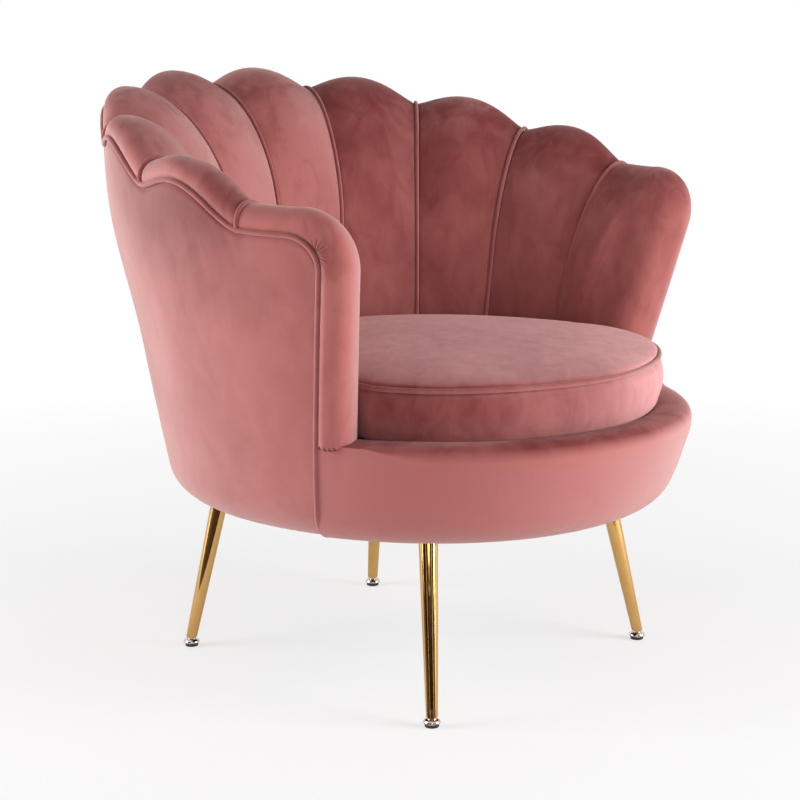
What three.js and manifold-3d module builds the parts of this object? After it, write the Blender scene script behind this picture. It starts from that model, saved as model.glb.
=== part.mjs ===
// Scallop back tub chair. Ten stuffed velvet channels stand round a plywood tub
// like the ribs of a shell, roll over its scalloped rail and end at one long
// piping cord. A loose round cushion lies on a webbed seat, and four splayed
// tapered legs with screw-in levelling feet carry the tub.
// Millimetres, +Z up. The chair faces -Y and stands on z = 0. An angle round the
// tub is 0 in the middle of the back and grows towards the sitter's left (+X).

import * as THREE from "three";
import { mergeVertices } from "three/addons/utils/BufferGeometryUtils.js";
import Module from "manifold-3d";

const wasm = await Module();
wasm.setup();

const { lerp, clamp, degToRad } = THREE.MathUtils;

// Driving dimensions

const seatGap = 0.3; // between faces that rest on each other
const looseGap = 0.5; // between upholstery and the frame it covers
const coverGap = 1.2; // behind the tightly pulled outside cover
const cutOverrun = 5; // how far a cutting tool runs past what it cuts

const tub = {
  underside: 224,
  flareHeight: 717, // the height at which the high plan sizes are measured
  flareShare: 0.88, // below 1 the wall bellies outwards between the two
  halfWidthLow: 307,
  halfWidthHigh: 424,
  backReachLow: 318,
  backReachHigh: 434,
  frontReachLow: 333,
  frontReachHigh: 476,
  centreLow: -25,
  centreHigh: -65,
  bottomRadius: 39,
  squareShare: 0.008, // how much fuller than an ellipse the front corners are
};

const rim = {
  backHeight: 716, // piping height at the seam in the middle of the back
  fallShare: 0.1354, // of the back above the seat, lost per radian squared
  easeShare: 0.0088,
  scallopRise: 28,
  scallopSoftShare: 0.26, // how round the dips of the piping are
  scallopFullShare: 0.85, // below 1 makes the lobes fuller
  rollHeight: 26, // crest of a channel above the piping
  seamRollHeight: 30,
  crestInset: 28,
  recess: 4, // how far the roll stands back from the tub's outside
};

const channels = {
  seamStep: degToRad(23.69),
  outerSeam: 4, // seams are numbered from -4 to 4
  footSteps: [0, 1.07, 2.12, 3.03, 3.95], // where the seams meet the seat, in steps
  crown: 7.5,
  crownShare: 0.7,
  shoulderDepth: 134, // from the outside of the tub to a seam, in the middle
  seatDepth: 107,
  shoulderHeight: 586,
  armThinShare: 0.26, // how much of that depth is lost on the way to an arm
  shoulderDrop: 162, // from the crest down to where the face begins
};

const arm = {
  endAngleLow: degToRad(106.2), // at the tub's underside
  endAngleHigh: degToRad(109.9), // at the flare height
  cornerRadius: 44,
  drop: 2, // how far the arm's piping sinks in front of its last seam
  topRoll: 30, // height of the roll on top of the arm
  frontRoll: 39, // and in front of it
  crestInset: 30,
  swell: 11, // how far the roll swells out beyond the tub's outside
  squareShare: 0.65, // below 1 squares the roll's outer corner
  shoulderShare: 0.42, // of a section's length that its rounded shoulder takes
  crownShare: 0.6,
};

const cords = {
  pipingRadius: 3,
  weltRadius: 2.5,
  cushionPipingRadius: 3.2,
  pipingGap: 1.2, // from the piping to the cloth on either side of it
  weltGap: 0.5,
};

const cover = {
  thickness: 5,
  flap: 42,
  innerShares: [0.13, 0.3, 0.55, 1], // levels, of the way up to the piping
  outerShares: [0.13, 0.3, 0.48, 0.62, 0.76, 0.89, 1],
  belly: 8.5, // extra wadding high up on the back
  bellyFrom: 430,
  bellySkew: 1.5, // above 1 moves the belly's peak upwards
  bellyTurnFull: degToRad(60),
  bellyTurnNone: degToRad(98),
};

const apron = {
  crestHeight: 354,
  crestInset: 27,
  shoulderDrop: 40,
  armDrop: 2, // the same at an arm, where the roll stands on the apron
  armTurn: degToRad(8.5), // how far round from an arm that holds
  blendTurn: degToRad(14), // and how far round it takes to the full drop
  bottomRadius: 29,
  sink: 7, // how far the seat lies below the apron's crest
  sinkRun: 12,
  innerInset: 104,
};

const frame = {
  boardThickness: 15,
  boardEase: 3.2, // slack between the board's rounded edge and the cover
  drumInset: 84,
  drumThickness: 14,
  ringThickness: 18,
  ringBelowSeat: 21,
  ringInnerInset: 140,
  railDepth: 22,
  railHeight: 74,
  railProud: 1.5, // how far the rail stands above the piping line
  ribThickness: 18,
  ribDepthAtSeat: 47,
  ribDepthAtTop: 22,
  ribSeams: [-3, -1, 1, 3], // each rib stands behind one of these seams
  ribRelief: 4.5, // clears the rail where it falls across a rib
  liningThickness: 4,
  postWidth: 28,
};

const webbing = {
  width: 60,
  thickness: 1.6,
  lift: 2, // how much higher a strap runs where it passes over another
  endInset: 107,
  spacing: 130,
};

const deckPad = {
  frontInset: 106,
  backInset: 59, // it runs on under the channels
  backTurn: degToRad(95), // how far round it does so
};

const cushion = {
  lobeHalfWidth: 258, // in front of the arms
  lobeCentre: -172,
  frontReach: 186,
  frontRoundShare: 1.75, // 2 makes an elliptical front, less a more pointed one
  backReach: 356,
  height: 66, // boxed side, from the deck to the piping
  topCrown: 28,
  sideCrown: 6,
  sideGap: 2.5, // to the channels on both sides and behind
  freeTurn: degToRad(8), // within which the arms' front rolls let go of it
  middle: 60, // from the lobe's centre back to the top of the crown
  bottomRadius: 12,
};

const dustCover = { thickness: 1.5, inset: 74 };

const legs = {
  frontFoot: [224, -240],
  backFoot: [189, 208],
  splayFront: [34, 34],
  splayBack: [28, 34.5],
  splayRise: 203,
  topRadius: 12,
  bottomRadius: 7.4,
  wall: 1.5,
  capThickness: 4,
  plugLength: 24,
  footEnd: 12.6, // height of the leg's lower end above the floor
};

const stud = { radius: 4, length: 30, clearance: 0.3 };

const teeNut = {
  barrelRadius: 5.8,
  barrelRecess: 4, // from the board's underside to the barrel's end
  flangeRadius: 12,
  flangeThickness: 1.6,
};

const glide = {
  stemRadius: 3,
  stemLength: 18,
  boreClearance: 0.2,
  neckRadius: 5.6,
  rimRadius: 10.8,
  rimHeight: 5.8,
  neckHeight: 10.2,
};

const pad = { radius: 8.8, thickness: 4.2, edge: 0.8 };

// Heights that follow from the driving dimensions

const boardBottom = tub.underside + cover.thickness + looseGap;
const boardTop = boardBottom + frame.boardThickness;
const seatHeight = apron.crestHeight - apron.sink;
const ringTop = seatHeight - frame.ringBelowSeat;
const ringBottom = ringTop - frame.ringThickness;
const channelFoot = seatHeight + looseGap;
const legTop = tub.underside - seatGap;
const lip = cords.pipingRadius + cords.pipingGap;

const probeTurn = degToRad(0.5); // a small turn over which a slope is measured

const steps = (count) => Array.from({ length: count + 1 }, (_, i) => i / count);

// Finishes

const finish = (color, roughness, metalness = 0) =>
  new THREE.MeshStandardMaterial({ color, roughness, metalness });
const velvet = finish(0xa85f5f, 0.9);
const velvetPiping = finish(0x9c5656, 0.9);
const brass = finish(0xc9963f, 0.18, 1);
const nickel = finish(0xb9b4ac, 0.2, 1);
const blackPlastic = finish(0x1c1b1a, 0.6);
const plywood = finish(0xc9a878, 0.75);
const elastic = finish(0x3a3632, 0.85);
const blackCloth = finish(0x181818, 0.95);
const steel = finish(0x8f9092, 0.35, 1);
const foam = finish(0xd8d2c4, 0.95);

const chair = new THREE.Group();
chair.name = "scallop_chair";

function addPiece(name, geometry, material) {
  const mesh = new THREE.Mesh(geometry, material);
  mesh.name = name;
  chair.add(mesh);
  return mesh;
}

// The shape of the tub

const riseShare = (height) =>
  Math.max((height - tub.underside) / (tub.flareHeight - tub.underside), 0) **
  tub.flareShare;
const halfWidthAt = (height) =>
  lerp(tub.halfWidthLow, tub.halfWidthHigh, riseShare(height));
const frontReachAt = (height) =>
  lerp(tub.frontReachLow, tub.frontReachHigh, riseShare(height));
const backReachAt = (height) =>
  lerp(tub.backReachLow, tub.backReachHigh, riseShare(height));
const centreAt = (height) =>
  lerp(tub.centreLow, tub.centreHigh, riseShare(height));

// A point on the outside of the tub, moved inwards by the inset.
function tubPoint(angle, height, inset) {
  const inFront = Math.cos(angle) < 0;
  const reach = (inFront ? frontReachAt(height) : backReachAt(height)) - inset;
  const side = halfWidthAt(height) - inset;
  const corner = tub.squareShare * Math.sin(2 * angle) ** 2;
  const fuller = inFront ? 1 + corner : 1;
  return new THREE.Vector3(
    side * fuller * Math.sin(angle),
    centreAt(height) + reach * fuller * Math.cos(angle),
    height,
  );
}

// The angle that a length along the arm takes up.
const armTurn = (length, height) => length / frontReachAt(height);

// The angle that a length along the wall takes up at a place.
function wallTurn(length, angle, height, inset) {
  const from = tubPoint(angle - probeTurn, height, inset);
  const to = tubPoint(angle + probeTurn, height, inset);
  return (length * 2 * probeTurn) / from.distanceTo(to);
}

// How far the outside is drawn in by its rounded bottom edge.
function bottomInset(height, radius = tub.bottomRadius) {
  const below = clamp(tub.underside + tub.bottomRadius - height, 0, radius);
  return tub.bottomRadius - Math.sqrt(radius ** 2 - below ** 2);
}

const heightShare = (height) =>
  clamp((height - ringTop) / (rim.backHeight - ringTop), 0, 1);

// 0 in the middle of the back and 1 from the last seam onwards.
const sideShare = (angle) => Math.min(Math.abs(angle) / lastSeam, 1) ** 2;
const channelDepth = (angle, height) => {
  const rise = (height - channelFoot) / (channels.shoulderHeight - channelFoot);
  return (
    lerp(channels.seatDepth, channels.shoulderDepth, clamp(rise, 0, 1)) *
    (1 - channels.armThinShare * sideShare(angle))
  );
};
const frameOuter = cover.thickness + coverGap;
const liningInset = (height) =>
  frameOuter +
  lerp(frame.ribDepthAtSeat, frame.ribDepthAtTop, heightShare(height)) +
  looseGap;
const foamInset = (height) =>
  liningInset(height) + frame.liningThickness + looseGap;

// The long piping: scalloped along the back, level on the arms, then down the
// arms' fronts round a corner.

const channelSteps = 6; // sections across a channel
const faceSteps = 4; // levels down its face
const weltSteps = 15; // bends in a welt, and in the long piping and the cushion's
const pipingSteps = 150;
const cushionPipingSteps = 60;
const cushionSteps = 44; // sections round the cushion
const planSteps = 40; // and round the boards
const lastSeam = channels.outerSeam * channels.seamStep;

function valleyHeight(angle) {
  const square = angle ** 2;
  const fall = rim.fallShare * square - rim.easeShare * square ** 2;
  return rim.backHeight - (rim.backHeight - apron.crestHeight) * fall;
}

// 0 at a seam and 1 in the middle of a channel, with a soft dip at the seam.
function scallop(across) {
  const soft = rim.scallopSoftShare;
  const wave = Math.hypot(Math.sin(Math.PI * across), soft) - soft;
  return (wave / (Math.hypot(1, soft) - soft)) ** rim.scallopFullShare;
}

const scallopHeight = (turn) =>
  valleyHeight(turn) + rim.scallopRise * scallop(turn / channels.seamStep);

// How much further an offset across the piping line reaches when it is measured
// straight up, which is more where the line is steep.
function steepness(turn) {
  const probe = channels.seamStep / channelSteps / 2;
  const run = probe * halfWidthAt(rim.backHeight);
  const rise = Math.abs(scallopHeight(turn + probe) - scallopHeight(turn));
  const fall = Math.abs(scallopHeight(turn - probe) - scallopHeight(turn));
  return Math.hypot(1, Math.max(rise, fall) / run);
}

// The upright edge of an arm leans forwards a little.
const armEnd = (height) =>
  lerp(
    arm.endAngleLow,
    arm.endAngleHigh,
    (height - tub.underside) / (tub.flareHeight - tub.underside),
  );
const armPipingTop = valleyHeight(lastSeam) - arm.drop;
const armCornerHeight = armPipingTop - arm.cornerRadius;
const armCornerAngle =
  armEnd(armCornerHeight) - armTurn(arm.cornerRadius, armCornerHeight);

// A place on the piping line, moved outwards by an offset. Stations count the
// seams from the middle of the back; past the last seam they run over the arm's
// top, round its corner and down its front, one unit for each.
function rimPlace(station, offset = 0) {
  const side = station < 0 ? -1 : 1;
  const past = Math.abs(station) - channels.outerSeam;
  if (past <= 0) {
    const turn = Math.abs(station) * channels.seamStep;
    const steep = steepness(turn);
    const height = scallopHeight(turn) + offset * steep;
    return { side, angle: side * turn, height, steep, up: 1, round: 0 };
  }
  if (past <= 1) {
    const sink = Math.sin((past * Math.PI) / 2);
    const height = lerp(valleyHeight(lastSeam), armPipingTop, sink) + offset;
    const turn = lerp(lastSeam, armCornerAngle, past);
    return { side, angle: side * turn, height, steep: 1, up: 1, round: 0 };
  }
  if (past <= 2) {
    const bend = ((past - 1) * Math.PI) / 2;
    const radius = arm.cornerRadius + offset;
    const up = Math.cos(bend);
    const round = Math.sin(bend);
    const height = armCornerHeight + radius * up;
    const lean = armEnd(height) - armEnd(armCornerHeight);
    const turn = armCornerAngle + armTurn(radius * round, armCornerHeight) + lean;
    return { side, angle: side * turn, height, steep: 1, up, round };
  }
  const height = lerp(armCornerHeight, apron.crestHeight, past - 2);
  const turn = armEnd(height) + armTurn(offset, height);
  return { side, angle: side * turn, height, steep: 1, up: 0, round: 1 };
}

const spread = (from, to, count) =>
  steps(count)
    .slice(1)
    .map((share) => lerp(from, to, share));
const cornerStation = channels.outerSeam + 1;
const frontStation = channels.outerSeam + 2;
const halfRim = [
  ...spread(0, channels.outerSeam, channels.outerSeam * channelSteps),
  ...spread(channels.outerSeam, cornerStation, 2),
  ...spread(cornerStation, frontStation, 5),
];
const wholeRim = [...halfRim.map((station) => -station).reverse(), 0, ...halfRim];

// A section of the cover or the lining that hangs from the rim. On the arms the
// sections lean like the arm's front does. Outline points are [inset, height].
function hangingRing(station, offset, outlineBelow) {
  const top = rimPlace(station, offset);
  const end = (height) => armEnd(height) + armTurn(offset, height);
  const turn = Math.abs(top.angle);
  const share = (turn - lastSeam) / (end(top.height) - lastSeam);
  const angleAt = (height) =>
    share > 0
      ? top.side * lerp(lastSeam, end(Math.min(height, top.height)), share)
      : top.angle;
  return wallRing(outlineBelow(top.height, turn), angleAt);
}

// Geometry helpers

function fromTriangles(points, triangles) {
  const geometry = new THREE.BufferGeometry();
  const position = new Float32Array(points.length * 3);
  points.forEach((point, i) => point.toArray(position, i * 3));
  geometry.setAttribute("position", new THREE.BufferAttribute(position, 3));
  geometry.setIndex(triangles.flat());
  const merged = mergeVertices(geometry, 1e-4);
  const index = merged.index.array;
  const kept = [];
  for (let i = 0; i < index.length; i += 3) {
    const [a, b, c] = index.slice(i, i + 3);
    if (a !== b && b !== c && c !== a) kept.push(a, b, c);
  }
  if (signedVolume(merged.attributes.position, kept) < 0) kept.reverse();
  merged.setIndex(kept);
  merged.computeVertexNormals();
  return merged;
}

function signedVolume(position, index) {
  const corner = [0, 1, 2].map(() => new THREE.Vector3());
  let sum = 0;
  for (let i = 0; i < index.length; i += 3) {
    corner.forEach((v, j) => v.fromBufferAttribute(position, index[i + j]));
    sum += corner[0].dot(corner[1].cross(corner[2]));
  }
  return sum / 6;
}

// A solid through rings of points. Each ring is {points, flat}, where flat holds
// the same outline in a plane, from which the two end caps are made.
function loft(rings, closed = false) {
  const count = rings[0].points.length;
  const points = rings.flatMap((ring) => ring.points);
  const triangles = [];
  const spans = closed ? rings.length : rings.length - 1;
  for (let r = 0; r < spans; r += 1) {
    const here = r * count;
    const next = ((r + 1) % rings.length) * count;
    for (let i = 0; i < count; i += 1) {
      const j = (i + 1) % count;
      triangles.push([here + i, here + j, next + j]);
      triangles.push([here + i, next + j, next + i]);
    }
  }
  if (!closed) {
    const last = (rings.length - 1) * count;
    cap(rings[0].flat).forEach(([a, b, c]) => triangles.push([c, b, a]));
    cap(rings.at(-1).flat).forEach((t) => triangles.push(t.map((i) => i + last)));
  }
  return fromTriangles(points, triangles);
}

function cap(flat) {
  const forward = !THREE.ShapeUtils.isClockWise(flat);
  const faces = THREE.ShapeUtils.triangulateShape(flat, []);
  return forward ? faces : faces.map(([a, b, c]) => [c, b, a]);
}

const flatPoint = (x, y) => new THREE.Vector2(x, y);

// One section of the tub wall at an angle. Outline points are [inset, height].
function wallRing(outline, angleAt) {
  return {
    points: outline.map(([inset, height]) =>
      tubPoint(angleAt(height), height, inset),
    ),
    flat: outline.map(([inset, height]) => flatPoint(-inset, height)),
  };
}

// A quarter arc from one axis to the other, as [cosine, sine] pairs.
const quarterArc = (count) =>
  steps(count).map((share) => [
    Math.cos((share * Math.PI) / 2),
    Math.sin((share * Math.PI) / 2),
  ]);

function tube(points, radius, along, sides, closed = false) {
  const section = new THREE.Shape();
  section.absarc(0, 0, radius, 0, 2 * Math.PI);
  const geometry = new THREE.ExtrudeGeometry(section, {
    steps: along,
    curveSegments: sides / 2,
    extrudePath: new THREE.CatmullRomCurve3(points, closed),
  });
  return cleaned(geometry);
}

function cleaned(geometry) {
  const bare = geometry.clone();
  bare.deleteAttribute("normal");
  bare.deleteAttribute("uv");
  return mergeVertices(bare, 1e-4);
}

function toSolid(geometry) {
  const merged = cleaned(geometry);
  return new wasm.Manifold(
    new wasm.Mesh({
      numProp: 3,
      vertProperties: new Float32Array(merged.attributes.position.array),
      triVerts: new Uint32Array(merged.index.array),
    }),
  );
}

function toGeometry(solid) {
  const mesh = solid.getMesh();
  const geometry = new THREE.BufferGeometry();
  geometry.setAttribute(
    "position",
    new THREE.BufferAttribute(mesh.vertProperties, mesh.numProp),
  );
  geometry.setIndex(new THREE.BufferAttribute(mesh.triVerts, 1));
  geometry.computeVertexNormals();
  return geometry;
}

// A closed form of rows round an upright axis, from a flat middle underneath to
// a middle on top. A row is [inset, height] and pointAt places it at an angle.
function disc(rows, pointAt, around) {
  const points = [];
  const triangles = [];
  for (const [inset, height, inwards] of rows) {
    for (const share of steps(around).slice(1)) {
      points.push(pointAt(share * 2 * Math.PI, inset, height, inwards));
    }
  }
  const middle = (row) => {
    const ring = points.slice(row * around, (row + 1) * around);
    const sum = ring.reduce((total, p) => total.add(p), new THREE.Vector3());
    return sum.divideScalar(around);
  };
  const lastRow = rows.length - 1;
  for (let row = 0; row < lastRow; row += 1) {
    for (let i = 0; i < around; i += 1) {
      const j = (i + 1) % around;
      const low = row * around;
      const high = low + around;
      triangles.push([low + i, low + j, high + j], [low + i, high + j, high + i]);
    }
  }
  const bottomMiddle = points.push(middle(0)) - 1;
  const topMiddle = points.push(middle(lastRow)) - 1;
  for (let i = 0; i < around; i += 1) {
    const j = (i + 1) % around;
    const last = lastRow * around;
    triangles.push([bottomMiddle, j, i], [topMiddle, last + i, last + j]);
  }
  return fromTriangles(points, triangles);
}

// A flat board cut to the tub's plan at a height.
function planBoard(inset, planHeight, bottom, thickness, around) {
  const rows = [
    [inset, bottom],
    [inset, bottom + thickness],
  ];
  const pointAt = (angle, by, height) => {
    const point = tubPoint(angle, planHeight, by);
    return point.setZ(height);
  };
  return disc(rows, pointAt, around);
}

// The stuffed channels

const seamFootAngle = (seam) =>
  Math.sign(seam) * channels.footSteps[Math.abs(seam)] * channels.seamStep;

// Half of the slot between two channels, in which the welt lies.
const slotTurn = (angle, height) =>
  wallTurn(
    cords.weltRadius + cords.weltGap,
    angle,
    height,
    channelDepth(angle, height),
  );

// A section of a channel lies in a sheet that stands on the tub wall. It starts
// at a place on the piping line, the edge, and runs down to the root at the seat.
// Points are [out, inset]: out is measured from the edge, outwards when positive
// and along the sheet towards the root when negative.
function sheetOf({ edge, root, sill }) {
  const turn = Math.abs(edge.angle) - Math.abs(root.angle);
  const reach = Math.hypot(
    edge.height - root.height,
    turn * frontReachAt(root.height),
  );
  const place = (out, inset) => {
    const above = Math.max(out, 0);
    const share = clamp(-out / reach, 0, 1);
    const high = edge.height + edge.up * above;
    const angle = edge.angle + edge.side * edge.round * armTurn(above, high);
    const from = sill ? sill(inset) : high;
    return tubPoint(
      lerp(angle, root.angle, THREE.MathUtils.smoothstep(share, 0, 1)),
      lerp(from, root.height, share),
      inset,
    );
  };
  return { reach, place };
}

// The outside of a section: up from the lip, over the crest, round the shoulder
// and down the face.
function skin(section, reach, place) {
  const { edge, crown, rollHeight, crestInset, drop, front } = section;
  const bulge = channels.crown * crown;
  const faceInset = (out) => channelDepth(edge.angle, place(out, 0).z) + bulge;
  const lipOut = lip * edge.steep;
  const faceTop = Math.max(rollHeight - drop, -reach);
  const power = lerp(1, arm.squareShare, front);
  const outer = quarterArc(5).map(([cosine, sine]) => [
    lerp(lipOut, rollHeight, sine ** power),
    lerp(crestInset, lerp(rim.recess * crown, 0, front), cosine ** power) -
      2 * arm.swell * front * sine * cosine,
  ]);
  const inner = quarterArc(7)
    .slice(1)
    .map(([cosine, sine]) => [
      lerp(faceTop, rollHeight, cosine),
      lerp(crestInset, faceInset(faceTop), sine),
    ]);
  const face = spread(faceTop, -reach, faceSteps);
  return [...outer, ...inner, ...face.map((out) => [out, faceInset(out)])];
}

function channelRing(section) {
  const { edge } = section;
  const { reach, place } = sheetOf(section);
  const behind = (out) => [out, foamInset(place(out, 0).z)];
  const lipOut = lip * edge.steep;
  const outline = [
    ...skin(section, reach, place),
    ...steps(3)
      .slice(0, -1)
      .map((share) => behind(-reach * (1 - share))),
    behind(frame.railProud),
    [lipOut, foamInset(edge.height)],
  ];
  return {
    points: outline.map(([out, inset]) => place(out, inset)),
    flat: outline.map(([out, inset]) => flatPoint(-inset, out)),
  };
}

const crownAt = (across) =>
  Math.max(Math.sin(Math.PI * across), 0) ** channels.crownShare;

// How far below the crest the face begins, but well above the root.
const shoulderOf = (edge, rollHeight, root) =>
  Math.min(
    channels.shoulderDrop,
    (edge.height - root.height) * arm.shoulderShare + rollHeight,
  );

// The section in the middle of a seam, on which the welt lies.
function seamSection(seam) {
  const edge = rimPlace(seam);
  const root = { angle: seamFootAngle(seam), height: channelFoot };
  const rollHeight = rim.seamRollHeight;
  const drop = shoulderOf(edge, rollHeight, root);
  const { crestInset } = rim;
  return { edge, root, crown: 0, rollHeight, crestInset, drop, front: 0 };
}

// A channel between two seams.
function backChannel(seam) {
  const between = (angleOf, height, share) => {
    const from = angleOf(seam);
    const to = angleOf(seam + 1);
    return lerp(
      from + slotTurn(from, height),
      to - slotTurn(to, height),
      share,
    );
  };
  const rings = steps(channelSteps).map((share) => {
    const topAngle = (at) => at * channels.seamStep;
    const angle = between(topAngle, rim.backHeight, share);
    const edge = rimPlace(angle / channels.seamStep);
    const footAngle = between(seamFootAngle, channelFoot, share);
    const root = { angle: footAngle, height: channelFoot };
    const crown = crownAt(share);
    const rollHeight = lerp(rim.seamRollHeight, rim.rollHeight, crown);
    const drop = shoulderOf(edge, rollHeight, root);
    const { crestInset } = rim;
    return channelRing({ edge, root, crown, rollHeight, crestInset, drop, front: 0 });
  });
  return loft(rings);
}

// Height of the apron's rounded top at an inset, some way round from an arm.
function apronTop(inset, turn = 0) {
  const short = clamp(1 - inset / apron.crestInset, 0, 1);
  const sunk = clamp((inset - apron.crestInset) / apron.sinkRun, 0, 1);
  const free = clamp((turn - apron.armTurn) / apron.blendTurn, 0, 1);
  const drop = lerp(apron.armDrop, apron.shoulderDrop, free);
  return (
    apron.crestHeight -
    drop * (1 - Math.sqrt(Math.max(1 - short ** 2, 0))) -
    apron.sink * sunk
  );
}

// A form that runs from one arm round the front to the other, with a gap at
// both ends. Its outline depends on how far round it is from the nearer arm.
function apronForm(outlineAt, endGap) {
  const start = (height) => armEnd(height) + armTurn(lip + endGap, height);
  return loft(
    steps(28).map((share) => {
      const turn = Math.min(share, 1 - share) * 2 * (Math.PI - start(apron.crestHeight));
      return wallRing(outlineAt(turn), (height) =>
        lerp(start(height), 2 * Math.PI - start(height), share),
      );
    }),
  );
}

const apronHem = tub.underside + apron.bottomRadius;
const apronRounding = steps(4).map((share) => apron.crestInset * share ** 2);

// The room that the apron takes up, which is cut out of the arm channels.
function roomOutline(turn) {
  const top = (inset) => [inset, apronTop(inset, turn) + seatGap];
  const inner = apron.innerInset + cutOverrun;
  return [
    [-2 * cutOverrun, ringBottom],
    [-2 * cutOverrun, apronTop(0, turn) + seatGap],
    ...apronRounding.map(top),
    [apron.crestInset + apron.sinkRun, seatHeight + seatGap],
    [inner, seatHeight + seatGap],
    [inner, ringBottom],
  ];
}

// The channel at the end of an arm. Its sections fan out from the foot of the
// last seam: up to the arm's top, round its corner and down its front.
function armChannel(side) {
  const footSeam = seamFootAngle(channels.outerSeam);
  const root = {
    angle: side * (footSeam + slotTurn(footSeam, channelFoot)),
    height: channelFoot,
  };
  const seamEdge = lastSeam + slotTurn(lastSeam, armPipingTop);
  const seamStation =
    channels.outerSeam + (seamEdge - lastSeam) / (armCornerAngle - lastSeam);
  const stations = [
    seamStation,
    ...spread(seamStation, cornerStation, 3),
    ...spread(cornerStation, frontStation, 6),
    ...spread(frontStation, frontStation + 1, 4),
  ];
  const rings = stations.map((station, i) => {
    const edge = rimPlace(side * station);
    const atSill = i === stations.length - 1;
    const full = Math.min(i / 3, 1) ** channels.crownShare;
    const fullRoll = lerp(arm.topRoll, arm.frontRoll, edge.round);
    const rollHeight = lerp(rim.seamRollHeight, fullRoll, full);
    const { reach } = sheetOf({ edge, root });
    return channelRing({
      edge,
      root,
      crown: full * arm.crownShare,
      rollHeight,
      crestInset: lerp(rim.crestInset, arm.crestInset, full),
      drop: Math.min(
        channels.shoulderDrop,
        arm.shoulderShare * reach + rollHeight,
      ),
      front: edge.round * full,
      sill: atSill ? (inset) => apronTop(inset) + looseGap : null,
    });
  });
  const room = toSolid(apronForm(roomOutline, -looseGap));
  return toGeometry(toSolid(loft(rings)).subtract(room));
}

const channelTotal = 2 * channels.outerSeam + 2;
const channelName = (number) => `channel_${String(number).padStart(2, "0")}`;
addPiece(channelName(1), armChannel(-1), velvet);
for (let number = 2; number < channelTotal; number += 1) {
  const seam = number - 2 - channels.outerSeam;
  addPiece(channelName(number), backChannel(seam), velvet);
}
addPiece(channelName(channelTotal), armChannel(1), velvet);

// Welts: a thin covered cord in each seam between two channels

function seamWelt(seam) {
  const section = seamSection(seam);
  const { reach, place } = sheetOf(section);
  const line = skin(section, reach - looseGap, place);
  return tube(
    line.slice(2).map(([out, inset]) => place(out, inset)),
    cords.weltRadius,
    weltSteps,
    6,
  );
}

for (let seam = -channels.outerSeam; seam <= channels.outerSeam; seam += 1) {
  const number = seam + channels.outerSeam + 1;
  addPiece(`channel_welt_${number}`, seamWelt(seam), velvetPiping);
}

// The long piping cord under the roll

function pipingHalf() {
  const curveStart = tub.underside + tub.bottomRadius;
  const heights = [
    ...spread(armCornerHeight, curveStart, 4),
    ...quarterArc(5)
      .slice(1, -1)
      .map(([, sine]) => curveStart - tub.bottomRadius * sine),
  ];
  return [
    ...[0, ...halfRim].map((station) => {
      const { angle, height } = rimPlace(station);
      return tubPoint(angle, height, 0);
    }),
    ...heights.map((height) =>
      tubPoint(armEnd(height), height, bottomInset(height)),
    ),
  ];
}

const leftPiping = pipingHalf();
const rightPiping = leftPiping
  .slice(1)
  .reverse()
  .map((point) => new THREE.Vector3(-point.x, point.y, point.z));
addPiece(
  "outer_piping",
  tube([...rightPiping, ...leftPiping], cords.pipingRadius, pipingSteps, 6),
  velvetPiping,
);

// The outer cover: velvet and wadding round the back and both arms

// The rounded bottom edge of a cover, from its flap under the tub outwards.
function hemArc(thickness, count, rounding = tub.bottomRadius) {
  const radius = rounding - thickness;
  const bottom = tub.underside + thickness;
  const flapEnd = tub.bottomRadius + cover.flap;
  const arc = quarterArc(count).map(([cosine, sine]) => [
    rounding - radius * sine,
    bottom + radius * (1 - cosine),
  ]);
  return [[flapEnd, bottom], ...arc];
}

// How far the wadding pushes the cover out at a height below the piping.
function coverBelly(turn, height, top) {
  const rise = clamp((height - cover.bellyFrom) / (top - cover.bellyFrom), 0, 1);
  const fade = THREE.MathUtils.smoothstep(
    cover.bellyTurnNone - turn,
    0,
    cover.bellyTurnNone - cover.bellyTurnFull,
  );
  return cover.belly * fade * Math.sin(Math.PI * rise ** cover.bellySkew);
}

// Cuts the four stud holes out of a piece.
function pierced(geometry, radius) {
  return toGeometry(
    footSpots.reduce((solid, { top }) => {
      const height = 2 * (boardTop - legTop);
      const drill = new THREE.CylinderGeometry(radius, radius, height, 12);
      drill.rotateX(Math.PI / 2).translate(top[0], top[1], boardBottom);
      return solid.subtract(toSolid(drill));
    }, toSolid(geometry)),
  );
}

const footSpots = [
  { name: "front_right", x: -1, foot: legs.frontFoot, splay: legs.splayFront, y: 1 },
  { name: "front_left", x: 1, foot: legs.frontFoot, splay: legs.splayFront, y: 1 },
  { name: "back_right", x: -1, foot: legs.backFoot, splay: legs.splayBack, y: -1 },
  { name: "back_left", x: 1, foot: legs.backFoot, splay: legs.splayBack, y: -1 },
].map(({ name, x, y, foot, splay }) => {
  const share = (legTop - legs.footEnd) / legs.splayRise;
  const lean = [-x * splay[0] * share, y * splay[1] * share];
  const base = [x * foot[0], foot[1]];
  return { name, base, lean, top: [base[0] + lean[0], base[1] + lean[1]] };
});
const studHole = stud.radius + stud.clearance;

addPiece(
  "outer_cover",
  pierced(
    loft(
      wholeRim.map((station) =>
        hangingRing(station, -lip, (top, turn) => {
          const low = tub.underside + tub.bottomRadius;
          const level = (share) => lerp(low, top, share);
          return [
            ...hemArc(0, 4),
            ...cover.outerShares
              .map(level)
              .map((height) => [-coverBelly(turn, height, top), height]),
            ...cover.innerShares
              .map(level)
              .map((height) => [cover.thickness, height])
              .reverse(),
            ...hemArc(cover.thickness, 4).reverse(),
          ];
        }),
      ),
    ),
    studHole,
  ),
  velvet,
);

// The apron: the padded front of the seat, from one arm to the other

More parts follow.
